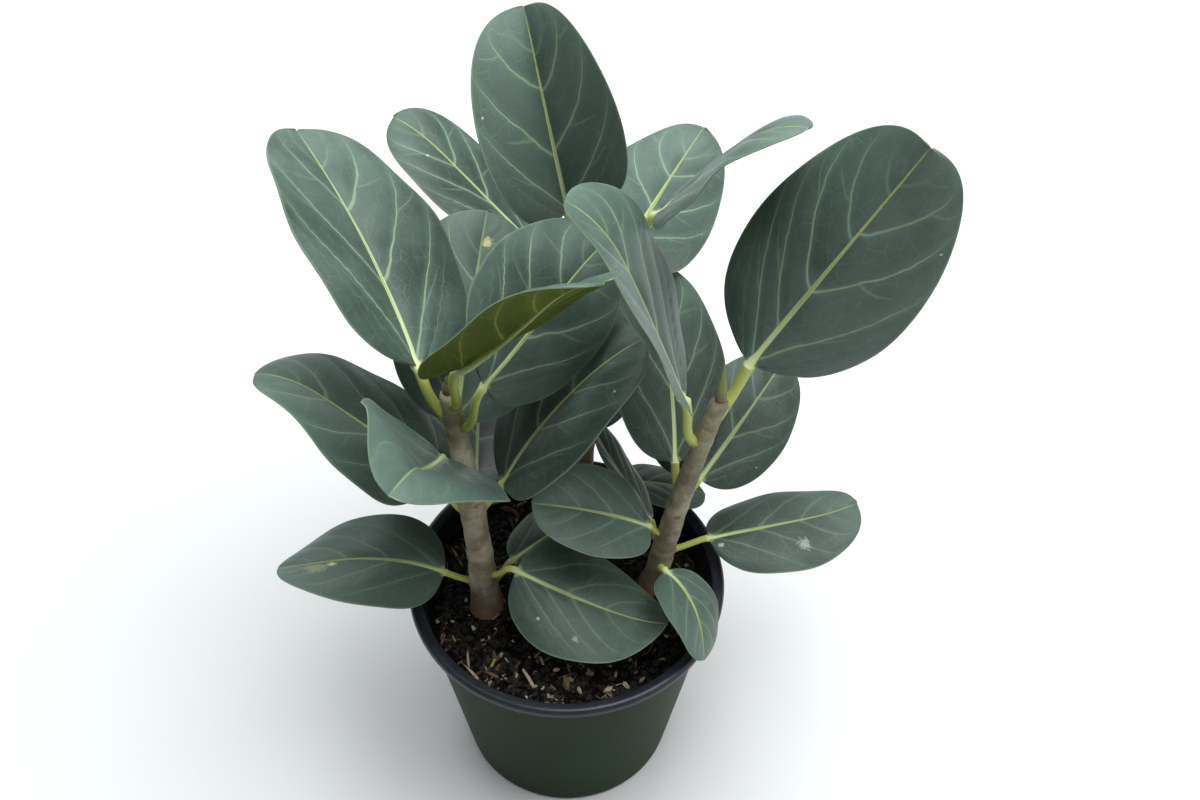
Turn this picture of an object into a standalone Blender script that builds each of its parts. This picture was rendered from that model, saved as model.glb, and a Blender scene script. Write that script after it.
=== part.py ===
"""Potted ficus: three rooted cuttings with large blunt leaves, grown together in a round nursery pot.

Metres, +Z up, standing on the pot's flat underside with the origin at its centre.
+X is the viewer's right and +Y points away from the viewer. Headings are degrees from +X towards +Y.
"""

import math
from typing import NamedTuple

import bmesh
import bpy
from mathutils import Vector

# Pot
POT_HEIGHT = 0.1315
POT_BASE_RADIUS = 0.0575
POT_BASE_EDGE = 0.003
POT_WALL_TOP_RADIUS = 0.0770
POT_WALL = 0.0018
POT_FLOOR = 0.0025
LIP_RADIUS = 0.0825
LIP_HEIGHT = 0.0052
LIP_ROUND = 0.0020
POT_SIDES = 48
DRAIN_HOLES = 6
DRAIN_HOLE_RADIUS = 0.0050
DRAIN_RING_RADIUS = 0.0420
DRAIN_HOLE_SIDES = 16

# Soil
SOIL_LEVEL = 0.1190
SOIL_EDGE_DROP = 0.0030
SOIL_SHOULDER_DROP = 0.0008
SOIL_SHOULDER = 0.0080
SOIL_FLAT_INSET = 0.0140

# Clearance between pieces that touch
FIT_GAP = 0.0003

# Stems
STEM_SIDES = 12
STEM_RINGS = 11
RING_CROWDING = 1.35
TAPER_CURVE = 1.4
FLARE_REACH = 0.0090
BUD_RINGS = 4
BUD_BASE_SHARE = 0.62
BUD_TIP_SHARE = 0.2
BUD_CURVE = 1.6

# Blades
BLADE_ROWS = 10
BLADE_COLUMNS = (-1.0, -0.55, 0.0, 0.55, 1.0)
BLADE_STEPS = 60
BLADE_FULLNESS = 0.86
MIDRIB_THICKNESS = 0.017
MARGIN_THICKNESS = 0.012
END_SHARE = 0.06
CURL_START = 0.55

# Stalks
STALK_RINGS = 4
STALK_ROOT_RADIUS = 0.0025
STALK_NECK_RADIUS = 0.0019
STALK_PULL = 0.36
STALK_SPREAD = 0.60


class Stem(NamedTuple):
    """A leaning, tapered stem that ends in an upright pointed bud."""

    foot: tuple
    top: tuple
    bow: float
    low_radius: float
    top_radius: float
    flare: float
    bud: float


class Leaf(NamedTuple):
    """A blade on a stalk.

    The stalk leaves the stem at the node's height and brings the blade's base to a reach, heading and
    climb from there. The blade has a length and a width. Its heading, rise and roll are those of its
    middle; bend arches it along the midrib, curl turns its tip down, fold makes its section a V, cup
    eases that V flat towards the margins, and twist turns the section from base to tip. Skew makes the
    blade broader towards its base.
    """

    stem: str
    node: float
    stalk: tuple
    blade: tuple
    heading: float
    rise: float
    roll: float = 0.0
    bend: float = 25.0
    fold: float = 10.0
    cup: float = 10.0
    twist: float = 0.0
    curl: float = 0.0
    skew: float = 0.06


STEMS = {
    "left": Stem(
        foot=(-0.0415, -0.0110), top=(-0.0525, -0.0020, 0.2700), bow=0.0015,
        low_radius=0.0070, top_radius=0.0043, flare=0.0022, bud=0.011,
    ),
    "right": Stem(
        foot=(0.0460, 0.0060), top=(0.0715, 0.0060, 0.2590), bow=-0.0020,
        low_radius=0.0060, top_radius=0.0042, flare=0.0026, bud=0.024,
    ),
    "back": Stem(
        foot=(0.0040, 0.0540), top=(0.0160, 0.0690, 0.2840), bow=0.0010,
        low_radius=0.0056, top_radius=0.0036, flare=0.0026, bud=0.014,
    ),
}

LEAVES = {
    "left_leaf_1": Leaf(
        "left", 0.255, stalk=(0.016, 158, 0.026), blade=(0.135, 0.091),
        heading=121, rise=22, roll=-31, bend=20, fold=15, cup=5, twist=5, skew=0.12,
    ),
    "left_leaf_2": Leaf(
        "left", 0.265, stalk=(0.019, 295, 0.037), blade=(0.110, 0.073),
        heading=331, rise=54, roll=24, bend=-10, fold=15, twist=10, curl=35, skew=0.18,
    ),
    "left_leaf_3": Leaf(
        "left", 0.249, stalk=(0.018, 331, 0.035), blade=(0.097, 0.077),
        heading=58, rise=11, roll=-57, bend=10, fold=0, twist=40, curl=-25, skew=0.12,
    ),
    "left_leaf_4": Leaf(
        "left", 0.232, stalk=(0.012, 105, 0.008), blade=(0.107, 0.080),
        heading=83, rise=30, roll=-5, bend=25, fold=5, cup=15, twist=-30, curl=-5, skew=0.09,
    ),
    "left_leaf_5": Leaf(
        "left", 0.212, stalk=(0.012, 215, 0.025), blade=(0.119, 0.077),
        heading=273, rise=49, roll=37, bend=-26, fold=17, cup=3, twist=6, curl=66, skew=0.19,
    ),
    "left_leaf_6": Leaf(
        "left", 0.189, stalk=(0.021, 49, 0.006), blade=(0.105, 0.070),
        heading=24, rise=46, bend=35, fold=15, twist=-5, curl=15,
    ),
    "left_leaf_7": Leaf(
        "left", 0.193, stalk=(0.018, 167, 0.023), blade=(0.098, 0.082),
        heading=171, rise=42, roll=-15, bend=-5, twist=-30, curl=50, skew=0.09,
    ),
    "left_leaf_8": Leaf(
        "left", 0.196, stalk=(0.016, 84, 0.004), blade=(0.097, 0.080),
        heading=93, rise=-11, roll=-38, bend=-5, fold=-10, cup=15, twist=30,
    ),
    "left_leaf_9": Leaf(
        "left", 0.163, stalk=(0.032, 115, 0.011), blade=(0.074, 0.050),
        heading=124, rise=-3,
    ),
    "left_leaf_10": Leaf(
        "left", 0.137, stalk=(0.016, 30, 0.009), blade=(0.062, 0.045),
        heading=35, rise=5, roll=-5, fold=-5, cup=15,
    ),
    "left_leaf_11": Leaf(
        "left", 0.148, stalk=(0.021, 331, 0.013), blade=(0.081, 0.064),
        heading=345, rise=-14, roll=-4, bend=-20, fold=0, twist=50, curl=-25, skew=0.09,
    ),
    "left_leaf_12": Leaf(
        "left", 0.140, stalk=(0.020, 180, 0.006), blade=(0.085, 0.066),
        heading=185, rise=4, roll=-10, bend=55, twist=-45, curl=-20, skew=0.0,
    ),
    "right_leaf_1": Leaf(
        "right", 0.254, stalk=(0.015, 24, 0.023), blade=(0.136, 0.088),
        heading=4, rise=62, roll=-54, bend=15, fold=-5, cup=15, twist=5, curl=-25, skew=0.16,
    ),
    "right_leaf_2": Leaf(
        "right", 0.238, stalk=(0.031, 40, 0.032), blade=(0.090, 0.056),
        heading=40, rise=30,
    ),
    "right_leaf_3": Leaf(
        "right", 0.231, stalk=(0.013, 212, 0.036), blade=(0.116, 0.078),
        heading=160, rise=66, roll=-18, bend=5, fold=5, cup=-5, twist=10, curl=40, skew=0.18,
    ),
    "right_leaf_4": Leaf(
        "right", 0.193, stalk=(0.012, 109, 0.010), blade=(0.103, 0.071),
        heading=99, rise=38, roll=-29, bend=20, twist=-5, curl=15,
    ),
    "right_leaf_5": Leaf(
        "right", 0.183, stalk=(0.020, 55, 0.001), blade=(0.085, 0.056),
        heading=55, rise=15, roll=-25, fold=0, cup=15,
    ),
    "right_leaf_6": Leaf(
        "right", 0.149, stalk=(0.012, 126, 0.010), blade=(0.063, 0.028),
        heading=133, rise=36, roll=-38, bend=0, fold=25, cup=15, twist=5, curl=-25,
    ),
    "right_leaf_7": Leaf(
        "right", 0.162, stalk=(0.011, 197, 0.008), blade=(0.069, 0.048),
        heading=194, rise=30, roll=22, bend=30, fold=15, twist=20, curl=5,
    ),
    "right_leaf_8": Leaf(
        "right", 0.170, stalk=(0.029, 75, 0.002), blade=(0.075, 0.050),
        heading=80, rise=5,
    ),
    "right_leaf_9": Leaf(
        "right", 0.147, stalk=(0.024, 12, 0.004), blade=(0.082, 0.057),
        heading=15, rise=0, roll=2, bend=0, fold=0, cup=15, curl=-20, skew=0.0,
    ),
    "right_leaf_10": Leaf(
        "right", 0.141, stalk=(0.023, 274, 0.018), blade=(0.051, 0.038),
        heading=294, rise=-23, roll=31, bend=75, fold=5, twist=30, curl=-5,
    ),
    "back_leaf_1": Leaf(
        "back", 0.276, stalk=(0.022, 138, 0.031), blade=(0.100, 0.074),
        heading=124, rise=69, roll=27, bend=45, fold=35, cup=3, twist=30, curl=5,
    ),
    "back_leaf_2": Leaf(
        "back", 0.279, stalk=(0.025, 358, 0.039), blade=(0.104, 0.051),
        heading=327, rise=54, bend=2, fold=5, cup=12, twist=21, curl=46, skew=0,
    ),
    "back_leaf_3": Leaf(
        "back", 0.268, stalk=(0.020, 38, 0.026), blade=(0.106, 0.073),
        heading=70, rise=-5, roll=-26, bend=-30, fold=-5, cup=15, twist=25, curl=-25,
    ),
    "back_leaf_4": Leaf(
        "back", 0.243, stalk=(0.052, 127, 0.021), blade=(0.098, 0.060),
        heading=148, rise=33, roll=-15, bend=0, fold=5, twist=35, curl=25, skew=0.08,
    ),
    "back_leaf_5": Leaf(
        "back", 0.214, stalk=(0.021, 65, 0.008), blade=(0.088, 0.056),
        heading=80, rise=0,
    ),
    "back_leaf_6": Leaf(
        "back", 0.234, stalk=(0.022, 120, 0.006), blade=(0.095, 0.064),
        heading=120, rise=0,
    ),
    "back_leaf_7": Leaf(
        "back", 0.158, stalk=(0.014, 90, 0.007), blade=(0.085, 0.058),
        heading=90, rise=0,
    ),
    "back_leaf_8": Leaf(
        "back", 0.142, stalk=(0.021, 325, 0.014), blade=(0.055, 0.037),
        heading=10, rise=-20, roll=10, fold=5, twist=-15,
    ),
}

PLASTIC = ((0.030, 0.045, 0.030, 1.0), 0.45)
SOIL = ((0.030, 0.022, 0.016, 1.0), 0.95)
BARK = ((0.250, 0.215, 0.150, 1.0), 0.80)
LEAF = ((0.070, 0.120, 0.080, 1.0), 0.55)


def clear_scene():
    """Remove every object that the file opened with."""
    for obj in list(bpy.data.objects):
        bpy.data.objects.remove(obj, do_unlink=True)


def material(name, look):
    """One Principled BSDF material with a base colour and a roughness."""
    colour, roughness = look
    made = bpy.data.materials.new(name)
    made.use_nodes = True
    shader = made.node_tree.nodes["Principled BSDF"]
    shader.inputs["Base Color"].default_value = colour
    shader.inputs["Roughness"].default_value = roughness
    return made


def closed_object(name, bm, look, origin=(0.0, 0.0, 0.0)):
    """Turn a bmesh into an object with outward faces, its own material and its origin at a point."""
    bmesh.ops.recalc_face_normals(bm, faces=bm.faces)
    bmesh.ops.translate(bm, vec=-Vector(origin), verts=bm.verts)
    mesh = bpy.data.meshes.new(name)
    bm.to_mesh(mesh)
    bm.free()
    mesh.materials.append(look)
    obj = bpy.data.objects.new(name, mesh)
    obj.location = origin
    bpy.context.scene.collection.objects.link(obj)
    return obj


def loft(loops):
    """Skin closed loops of equal length and cap both ends."""
    bm = bmesh.new()
    rings = [[bm.verts.new(point) for point in loop] for loop in loops]
    count = len(rings[0])
    for lower, upper in zip(rings, rings[1:]):
        for k in range(count):
            following = (k + 1) % count
            bm.faces.new((lower[k], lower[following], upper[following], upper[k]))
    bm.faces.new(list(reversed(rings[0])))
    bm.faces.new(rings[-1])
    return bm


def turned(profile, sides):
    """Revolve an open profile of (radius, height) about Z; its ends lie on the axis."""
    bm = bmesh.new()
    start = bm.verts.new((0.0, 0.0, profile[0][1]))
    end = bm.verts.new((0.0, 0.0, profile[-1][1]))
    rings = []
    for radius, height in profile[1:-1]:
        ring = []
        for k in range(sides):
            turn = 2 * math.pi * k / sides
            ring.append(bm.verts.new((radius * math.cos(turn), radius * math.sin(turn), height)))
        rings.append(ring)
    for k in range(sides):
        following = (k + 1) % sides
        bm.faces.new((start, rings[0][following], rings[0][k]))
        for lower, upper in zip(rings, rings[1:]):
            bm.faces.new((lower[k], lower[following], upper[following], upper[k]))
        bm.faces.new((end, rings[-1][k], rings[-1][following]))
    return bm


def wall_radius(height):
    """Outer radius of the tapered wall at a height."""
    share = height / (POT_HEIGHT - LIP_HEIGHT)
    return POT_BASE_RADIUS + (POT_WALL_TOP_RADIUS - POT_BASE_RADIUS) * share


def make_pot(look):
    """The pot: tapered wall, rolled lip, flat floor with drain holes around its centre."""
    lip_foot = POT_HEIGHT - LIP_HEIGHT
    inner_top = wall_radius(POT_HEIGHT) - POT_WALL
    profile = [
        (0.0, 0.0),
        (POT_BASE_RADIUS - POT_BASE_EDGE, 0.0),
        (wall_radius(POT_BASE_EDGE), POT_BASE_EDGE),
        (wall_radius(lip_foot), lip_foot),
        (LIP_RADIUS - LIP_ROUND, lip_foot),
        (LIP_RADIUS, lip_foot + LIP_ROUND),
        (LIP_RADIUS, POT_HEIGHT - LIP_ROUND),
        (LIP_RADIUS - LIP_ROUND, POT_HEIGHT),
        (inner_top + LIP_ROUND / 2, POT_HEIGHT),
        (inner_top, POT_HEIGHT - LIP_ROUND / 2),
        (wall_radius(POT_FLOOR) - POT_WALL, POT_FLOOR),
        (0.0, POT_FLOOR),
    ]
    pot = closed_object("pot", turned(profile, POT_SIDES), look)
    cutter_mesh = bmesh.new()
    for k in range(DRAIN_HOLES):
        turn = 2 * math.pi * k / DRAIN_HOLES
        hole = bmesh.ops.create_cone(
            cutter_mesh, cap_ends=True, segments=DRAIN_HOLE_SIDES, depth=4 * POT_FLOOR,
            radius1=DRAIN_HOLE_RADIUS, radius2=DRAIN_HOLE_RADIUS,
        )
        shift = (DRAIN_RING_RADIUS * math.cos(turn), DRAIN_RING_RADIUS * math.sin(turn), POT_FLOOR)
        bmesh.ops.translate(cutter_mesh, vec=shift, verts=hole["verts"])
    cutter = closed_object("drain_holes", cutter_mesh, look)
    cutter.hide_render = True
    cutter.display_type = "WIRE"
    cut = pot.modifiers.new("drain_holes", "BOOLEAN")
    cut.operation = "DIFFERENCE"
    cut.solver = "EXACT"
    cut.object = cutter
    bpy.context.view_layer.objects.active = pot
    bpy.ops.object.modifier_apply(modifier=cut.name)
    bpy.data.objects.remove(cutter, do_unlink=True)
    return pot


def make_soil(look):
    """The filling: level where the stems stand, a little lower along the wall."""
    floor = POT_FLOOR + FIT_GAP
    edge = SOIL_LEVEL - SOIL_EDGE_DROP
    inset = POT_WALL + FIT_GAP
    profile = [
        (0.0, floor),
        (wall_radius(floor) - inset, floor),
        (wall_radius(edge) - inset, edge),
        (wall_radius(edge) - inset - SOIL_SHOULDER, SOIL_LEVEL - SOIL_SHOULDER_DROP),
        (wall_radius(edge) - inset - SOIL_FLAT_INSET, SOIL_LEVEL),
        (0.0, SOIL_LEVEL),
    ]
    return closed_object("soil", turned(profile, POT_SIDES), look)


def stem_point(stem, height):
    """Centre of the stem at a height: a straight lean with a sideways bow."""
    share = (height - SOIL_LEVEL) / (stem.top[2] - SOIL_LEVEL)
    x = stem.foot[0] + (stem.top[0] - stem.foot[0]) * share + stem.bow * math.sin(math.pi * share)
    y = stem.foot[1] + (stem.top[1] - stem.foot[1]) * share
    return Vector((x, y, height))


def stem_radius(stem, height):
    """Radius of the stem at a height, with the root flare at its foot."""
    share = min(max((height - SOIL_LEVEL) / (stem.top[2] - SOIL_LEVEL), 0.0), 1.0)
    taper = stem.low_radius + (stem.top_radius - stem.low_radius) * share ** TAPER_CURVE
    return taper + stem.flare * math.exp(-(height - SOIL_LEVEL) / FLARE_REACH)


def make_stem(name, stem, look):
    """A stem cut flat just above the soil, ending in an upright pointed bud."""
    bottom = SOIL_LEVEL + FIT_GAP
    loops = []
    for k in range(STEM_RINGS):
        share = (k / (STEM_RINGS - 1)) ** RING_CROWDING
        height = bottom + (stem.top[2] - bottom) * share
        loops.append((stem_point(stem, height), stem_radius(stem, height)))
    top = stem_point(stem, stem.top[2])
    for k in range(BUD_RINGS + 1):
        share = k / BUD_RINGS
        narrowing = BUD_BASE_SHARE * (1 - (1 - BUD_TIP_SHARE) * share ** BUD_CURVE)
        loops.append((top + Vector((0.0, 0.0, stem.bud * share)), stem.top_radius * narrowing))
    rings = []
    for centre, radius in loops:
        ring = []
        for k in range(STEM_SIDES):
            turn = 2 * math.pi * k / STEM_SIDES
            ring.append(centre + radius * Vector((math.cos(turn), math.sin(turn), 0.0)))
        rings.append(ring)
    return closed_object(name, loft(rings), look, (*stem.foot, bottom))


def blade_axes(leaf):
    """Unit vectors along the blade at mid-length, up from its upper face, and to its left."""
    heading, rise, roll = (math.radians(v) for v in (leaf.heading, leaf.rise, leaf.roll))
    along = Vector((
        math.cos(rise) * math.cos(heading), math.cos(rise) * math.sin(heading), math.sin(rise)
    ))
    level_up = Vector((
        -math.sin(rise) * math.cos(heading), -math.sin(rise) * math.sin(heading), math.cos(rise)
    ))
    level_side = level_up.cross(along)
    up = math.cos(roll) * level_up + math.sin(roll) * level_side
    side = math.cos(roll) * level_side - math.sin(roll) * level_up
    return along, up, side


def bend_angle(leaf, share):
    """Angle of the midrib above its mid-length direction, from base to tip."""
    tip_part = max(share - CURL_START, 0.0) / (1 - CURL_START)
    return math.radians(leaf.bend * (0.5 - share) - leaf.curl * tip_part ** 2)


def blade_base(leaf):
    """Where the stalk ends and the blade begins."""
    reach, heading, climb = leaf.stalk
    turn = math.radians(heading)
    start = stem_point(STEMS[leaf.stem], leaf.node)
    return start + Vector((reach * math.cos(turn), reach * math.sin(turn), climb))


def midrib(leaf):
    """Points along the midrib at equal steps, starting at the blade's base."""
    along, up, _ = blade_axes(leaf)
    points = [blade_base(leaf)]
    for k in range(BLADE_STEPS):
        angle = bend_angle(leaf, (k + 0.5) / BLADE_STEPS)
        step = math.cos(angle) * along + math.sin(angle) * up
        points.append(points[-1] + step * leaf.blade[0] / BLADE_STEPS)
    return points


def half_width(leaf, share):
    """Half the blade's width at a share of its length: broad, blunt and round at both ends."""
    sweep = math.acos(1 - 2 * share)
    return leaf.blade[1] / 2 * math.sin(sweep) ** BLADE_FULLNESS * (1 + leaf.skew * math.cos(sweep))


def blade_frame(leaf, points, share):
    """Place, direction, normal and left-hand side of the blade at a share of its length."""
    along, up, side = blade_axes(leaf)
    at = share * BLADE_STEPS
    low = min(int(at), BLADE_STEPS - 1)
    place = points[low].lerp(points[low + 1], at - low)
    angle = bend_angle(leaf, share)
    tangent = math.cos(angle) * along + math.sin(angle) * up
    normal = math.cos(angle) * up - math.sin(angle) * along
    twist = math.radians(leaf.twist) * (share - 0.5)
    left = math.cos(twist) * side - math.sin(twist) * normal
    above = math.cos(twist) * normal + math.sin(twist) * side
    return place, tangent, above, left


def half_section(leaf, reach):
    """Sideways and upward share of the half width at a reach from the midrib: a V easing flat."""
    fold = math.radians(leaf.fold)
    ease = 2 * math.radians(leaf.cup)
    across = (math.sin(fold) - math.sin(fold - ease * reach)) / ease
    lift = (math.cos(fold - ease * reach) - math.cos(fold)) / ease
    return across, lift


def blade_loop(leaf, points, share):
    """Closed section of the blade: its upper face from left to right, then its underside back."""
    place, _, above, left = blade_frame(leaf, points, share)
    half = half_width(leaf, share)
    upper = []
    lower = []
    for column in BLADE_COLUMNS:
        across, lift = half_section(leaf, abs(column))
        sign = math.copysign(1.0, column)
        point = place + left * (-sign * across * half) + above * (lift * half)
        thin = MIDRIB_THICKNESS + (MARGIN_THICKNESS - MIDRIB_THICKNESS) * abs(column)
        fold_lean = math.radians(leaf.fold) * abs(column) ** 0.5
        normal = above * math.cos(fold_lean) + left * (sign * math.sin(fold_lean))
        upper.append(point)
        lower.append(point - normal * thin * leaf.blade[0])
    return upper + list(reversed(lower))


def stalk_path(leaf, points):
    """Cubic curve from just off the stem to the blade's base, with its outward start direction."""
    stem = STEMS[leaf.stem]
    centre = stem_point(stem, leaf.node)
    axis = (stem_point(stem, leaf.node + 0.002) - stem_point(stem, leaf.node - 0.002)).normalized()
    base = points[0]
    outward = base - centre
    outward = (outward - axis * outward.dot(axis)).normalized()
    start = centre + outward * (stem_radius(stem, leaf.node - STALK_ROOT_RADIUS) + FIT_GAP)
    span = (base - start).length
    _, tangent, _, _ = blade_frame(leaf, points, 0.0)
    leave = ((base - start).normalized() + outward * STALK_SPREAD).normalized()
    pull = span * STALK_PULL
    return start, start + leave * pull, base - tangent * pull, base, outward


def bezier(a, b, c, d, t):
    """Point and direction on a cubic curve."""
    s = 1 - t
    point = a * s ** 3 + b * 3 * s * s * t + c * 3 * s * t * t + d * t ** 3
    slope = (b - a) * 3 * s * s + (c - b) * 6 * s * t + (d - c) * 3 * t * t
    return point, slope.normalized()


def stalk_loops(leaf, points):
    """Round sections from the stem to the blade, cut along the stem's surface at the root."""
    a, b, c, d, outward = stalk_path(leaf, points)
    _, tangent, above, left = blade_frame(leaf, points, 0.0)
    count = 2 * len(BLADE_COLUMNS)
    loops = []
    for k in reversed(range(STALK_RINGS)):
        share = k / STALK_RINGS
        centre, slope = bezier(a, b, c, d, share)
        swing = tangent.rotation_difference(slope)
        above = swing @ above
        left = swing @ left
        tangent = slope
        radius = STALK_ROOT_RADIUS + (STALK_NECK_RADIUS - STALK_ROOT_RADIUS) * share
        loop = []
        for j in range(count):
            turn = 2 * math.pi * (j + 0.5) / count
            loop.append(centre + radius * (left * math.cos(turn) + above * math.sin(turn)))
        if k == 0:
            loop = [p + slope * ((a - p).dot(outward) / slope.dot(outward)) for p in loop]
        loops.append(loop)
    return list(reversed(loops))


def make_leaf(name, leaf, look):
    """One leaf: stalk and blade skinned as a single closed solid."""
    points = midrib(leaf)
    loops = stalk_loops(leaf, points)
    for k in range(BLADE_ROWS):
        sweep = math.pi * (END_SHARE + (1 - 2 * END_SHARE) * k / (BLADE_ROWS - 1))
        loops.append(blade_loop(leaf, points, (1 - math.cos(sweep)) / 2))
    return closed_object(name, loft(loops), look, stalk_path(leaf, points)[0])


def main():
    """Build the pot, the soil, the stems and the leaves."""
    clear_scene()
    make_pot(material("pot_plastic", PLASTIC))
    make_soil(material("soil", SOIL))
    bark = material("bark", BARK)
    for name, stem in STEMS.items():
        make_stem(name + "_stem", stem, bark)
    green = material("leaf_green", LEAF)
    for name, leaf in LEAVES.items():
        make_leaf(name, leaf, green)


main()
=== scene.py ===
"""A young ficus in its nursery pot: leaning stems, large blunt leaves with pale veins, and potting soil.

Metres, +Z up, with the pot's underside on the ground at the origin. +X is the viewer's right and +Y points
away from the viewer. Headings are degrees from +X towards +Y. Colours are linear red, green and blue.
"""

import math
from typing import NamedTuple

import bpy
import numpy as np
from mathutils import Matrix, Vector, noise


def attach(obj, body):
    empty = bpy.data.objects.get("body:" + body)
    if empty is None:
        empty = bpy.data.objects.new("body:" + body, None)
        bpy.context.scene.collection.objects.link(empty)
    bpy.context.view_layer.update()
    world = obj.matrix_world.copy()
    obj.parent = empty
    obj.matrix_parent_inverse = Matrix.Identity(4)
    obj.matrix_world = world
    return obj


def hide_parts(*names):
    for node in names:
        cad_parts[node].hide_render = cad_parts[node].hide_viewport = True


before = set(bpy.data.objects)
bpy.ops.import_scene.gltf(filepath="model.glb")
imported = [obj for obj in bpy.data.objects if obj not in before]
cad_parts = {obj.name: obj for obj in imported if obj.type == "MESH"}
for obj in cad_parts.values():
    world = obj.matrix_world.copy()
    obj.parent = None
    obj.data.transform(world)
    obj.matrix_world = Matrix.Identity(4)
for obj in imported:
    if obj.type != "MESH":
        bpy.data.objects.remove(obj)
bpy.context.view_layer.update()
bpy.ops.object.select_all(action="DESELECT")

# Pot
POT_HEIGHT = 0.1315
POT_BASE_RADIUS = 0.0575
POT_WALL_TOP_RADIUS = 0.0770
POT_WALL = 0.0018
POT_FLOOR = 0.0025
FOOT_ROLL = 0.0034
LIP_RADIUS = 0.0825
LIP_HEIGHT = 0.0052
LIP_ROLL = 0.0026
LIP_BEAD = 0.0011
LIP_INNER_ROLL = 0.0019
POT_SIDES = 144
DRAIN_HOLES = 6
DRAIN_HOLE_RADIUS = 0.0050
DRAIN_RING_RADIUS = 0.0420
DRAIN_SIDES = 32

# Soil
SOIL_LEVEL = 0.1190
SOIL_EDGE = 0.82
SOIL_EDGE_DROP = 0.0030
SOIL_SETTLED = 0.0006
CLODS = 0.0011
HOLLOWS = 0.0013
CLOD_SCALE = 95.0
HOLLOW_SCALE = 38.0
CRUST = 0.006
CRUST_GRID = 150
SOIL_SIDES = 96
WALL_CLEARANCE = 0.004
FIT_GAP = 0.0003

# Stems
TAPER_CURVE = 1.4
FLARE_REACH = 0.0090
STEM_SUNK = 0.004
STEM_SHOULDER = 0.0030
STEM_SIDES = 40
STEM_RINGS = 150
NODE_SWELL = 0.00030
NODE_REACH = 0.0035
RING_ABOVE_NODE = 0.0045
RING_GROOVE = 0.00006
RING_GROOVE_REACH = 0.0008
RING_MARK_REACH = 0.0009
BARK_LUMPS = 0.00022
BARK_LUMP_SCALE = 190.0
BARK_DENT_SCALE = 520.0
SCAR_RIM = 0.00035
SCAR_RIM_REACH = 0.0007
SCAR_HOLLOW = 0.00025
RUSTY_FOOT = 0.014
RUSTY_TIP = 0.45
RUSTY_TIP_REACH = 0.0025

# Buds
BUD_BASE_SHARE = 0.62
BUD_TIP_SHARE = 0.2
BUD_CURVE = 1.6
BUD_BELLY = 0.16
BUD_BLUNT_FROM = 0.88
BUD_SUNK = 0.0008
BUD_SIDES = 20
BUD_RINGS = 16

# Blades
BLADE_STEPS = 60
BLADE_FULLNESS = 0.86
CURL_START = 0.55
BLADE_COLUMNS = 32
BLADE_ROWS = 76
BLADE_THICKNESS = 0.0005
BLADE_END = 0.004
COLUMN_CROWDING = 1.25
PILLOW_RISE = 0.0060
RIB_CLEAR = 0.18
MARGIN_CLEAR = 0.22
TIP_CLEAR = 0.20
MARGIN_WAVE = 0.0080
WAVE_COUNT = (1.6, 2.6)
WAVE_SHIFT = 2.1
WAVE_CLEAR = 0.15
RIB_CHANNEL = 0.0004
RIB_CHANNEL_HALF = 0.0022
USUAL_TONES = (0.3, 0.7)
LEAF_SEED = 100

# Stalks, and the midribs that they run on into
STALK_ROOT_RADIUS = 0.0025
STALK_PULL = 0.36
STALK_SPREAD = 0.60
STALK_SIDES = 14
STALK_RINGS = 22
STALK_SLIM = 0.0022
STALK_SUNK = 0.0005
STALK_SIZES = (0.72, 1.15)
USUAL_LENGTH = 0.11
ROOT_SWELL = 0.35
NECK_SWELL = 0.22
SWELL_REACH = 0.07
RIB_RINGS = 30
RIB_END = 0.985
RIB_TIP_SHARE = 0.10
RIB_TAPER = 0.72
RIB_TAPER_CURVE = 1.3
RIB_SWELL = 0.25
RIB_SWELL_REACH = 0.02
RIB_PROUD = 0.60
RIB_PROUD_REACH = 0.03
RIB_SUNK = 0.06

# Veins: where they leave the midrib, as shares of the length, and how strongly they show
VEIN_STATIONS = (-0.20, 0.005, 0.340, 0.620, 0.810, 0.920)
VEIN_STRENGTHS = (0.30, 1.0, 1.0, 0.85, 0.35, 0.12)
CLOSE_STATIONS = (-0.20, 0.005, 0.210, 0.400, 0.600, 0.770, 0.900)
CLOSE_STRENGTHS = (0.30, 1.0, 0.85, 1.0, 0.70, 0.35, 0.12)
CLOSE_CHANCE = 0.12
VEIN_RISE = 0.64
VEIN_RISE_SPREAD = (0.92, 1.08)
VEIN_GATHER = 0.40
VEIN_SHOULDER = 0.05
VEIN_SHOULDER_REACH = 0.06
VEIN_JITTER = 0.030
OLD_NODE = 0.145
YOUNG_NODE = 0.220
OLD_VEINS = 0.36
SIDE_VEIN_HALF = (0.00064, 0.00030)
MIDRIB_HALF = (0.00138, 0.00054)
FORK_START = 0.40
FORK_SPREAD = 0.15
FORK_SLOPE = 1.5


class Stem(NamedTuple):
    """A leaning, tapered stem that ends in an upright pointed bud."""

    foot: tuple
    top: tuple
    bow: float
    low_radius: float
    top_radius: float
    flare: float
    bud: float


class Leaf(NamedTuple):
    """A blade on a stalk.

    The stalk leaves the stem at the node's height and brings the blade's base to a reach, heading and
    climb from there. The blade has a length and a width. Its heading, rise and roll are those of its
    middle; bend arches it along the midrib, curl turns its tip down, fold makes its section a V, cup
    eases that V flat towards the margins, and twist turns the section from base to tip. Skew makes the
    blade broader towards its base.
    """

    stem: str
    node: float
    stalk: tuple
    blade: tuple
    heading: float
    rise: float
    roll: float = 0.0
    bend: float = 25.0
    fold: float = 10.0
    cup: float = 10.0
    twist: float = 0.0
    curl: float = 0.0
    skew: float = 0.06


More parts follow.
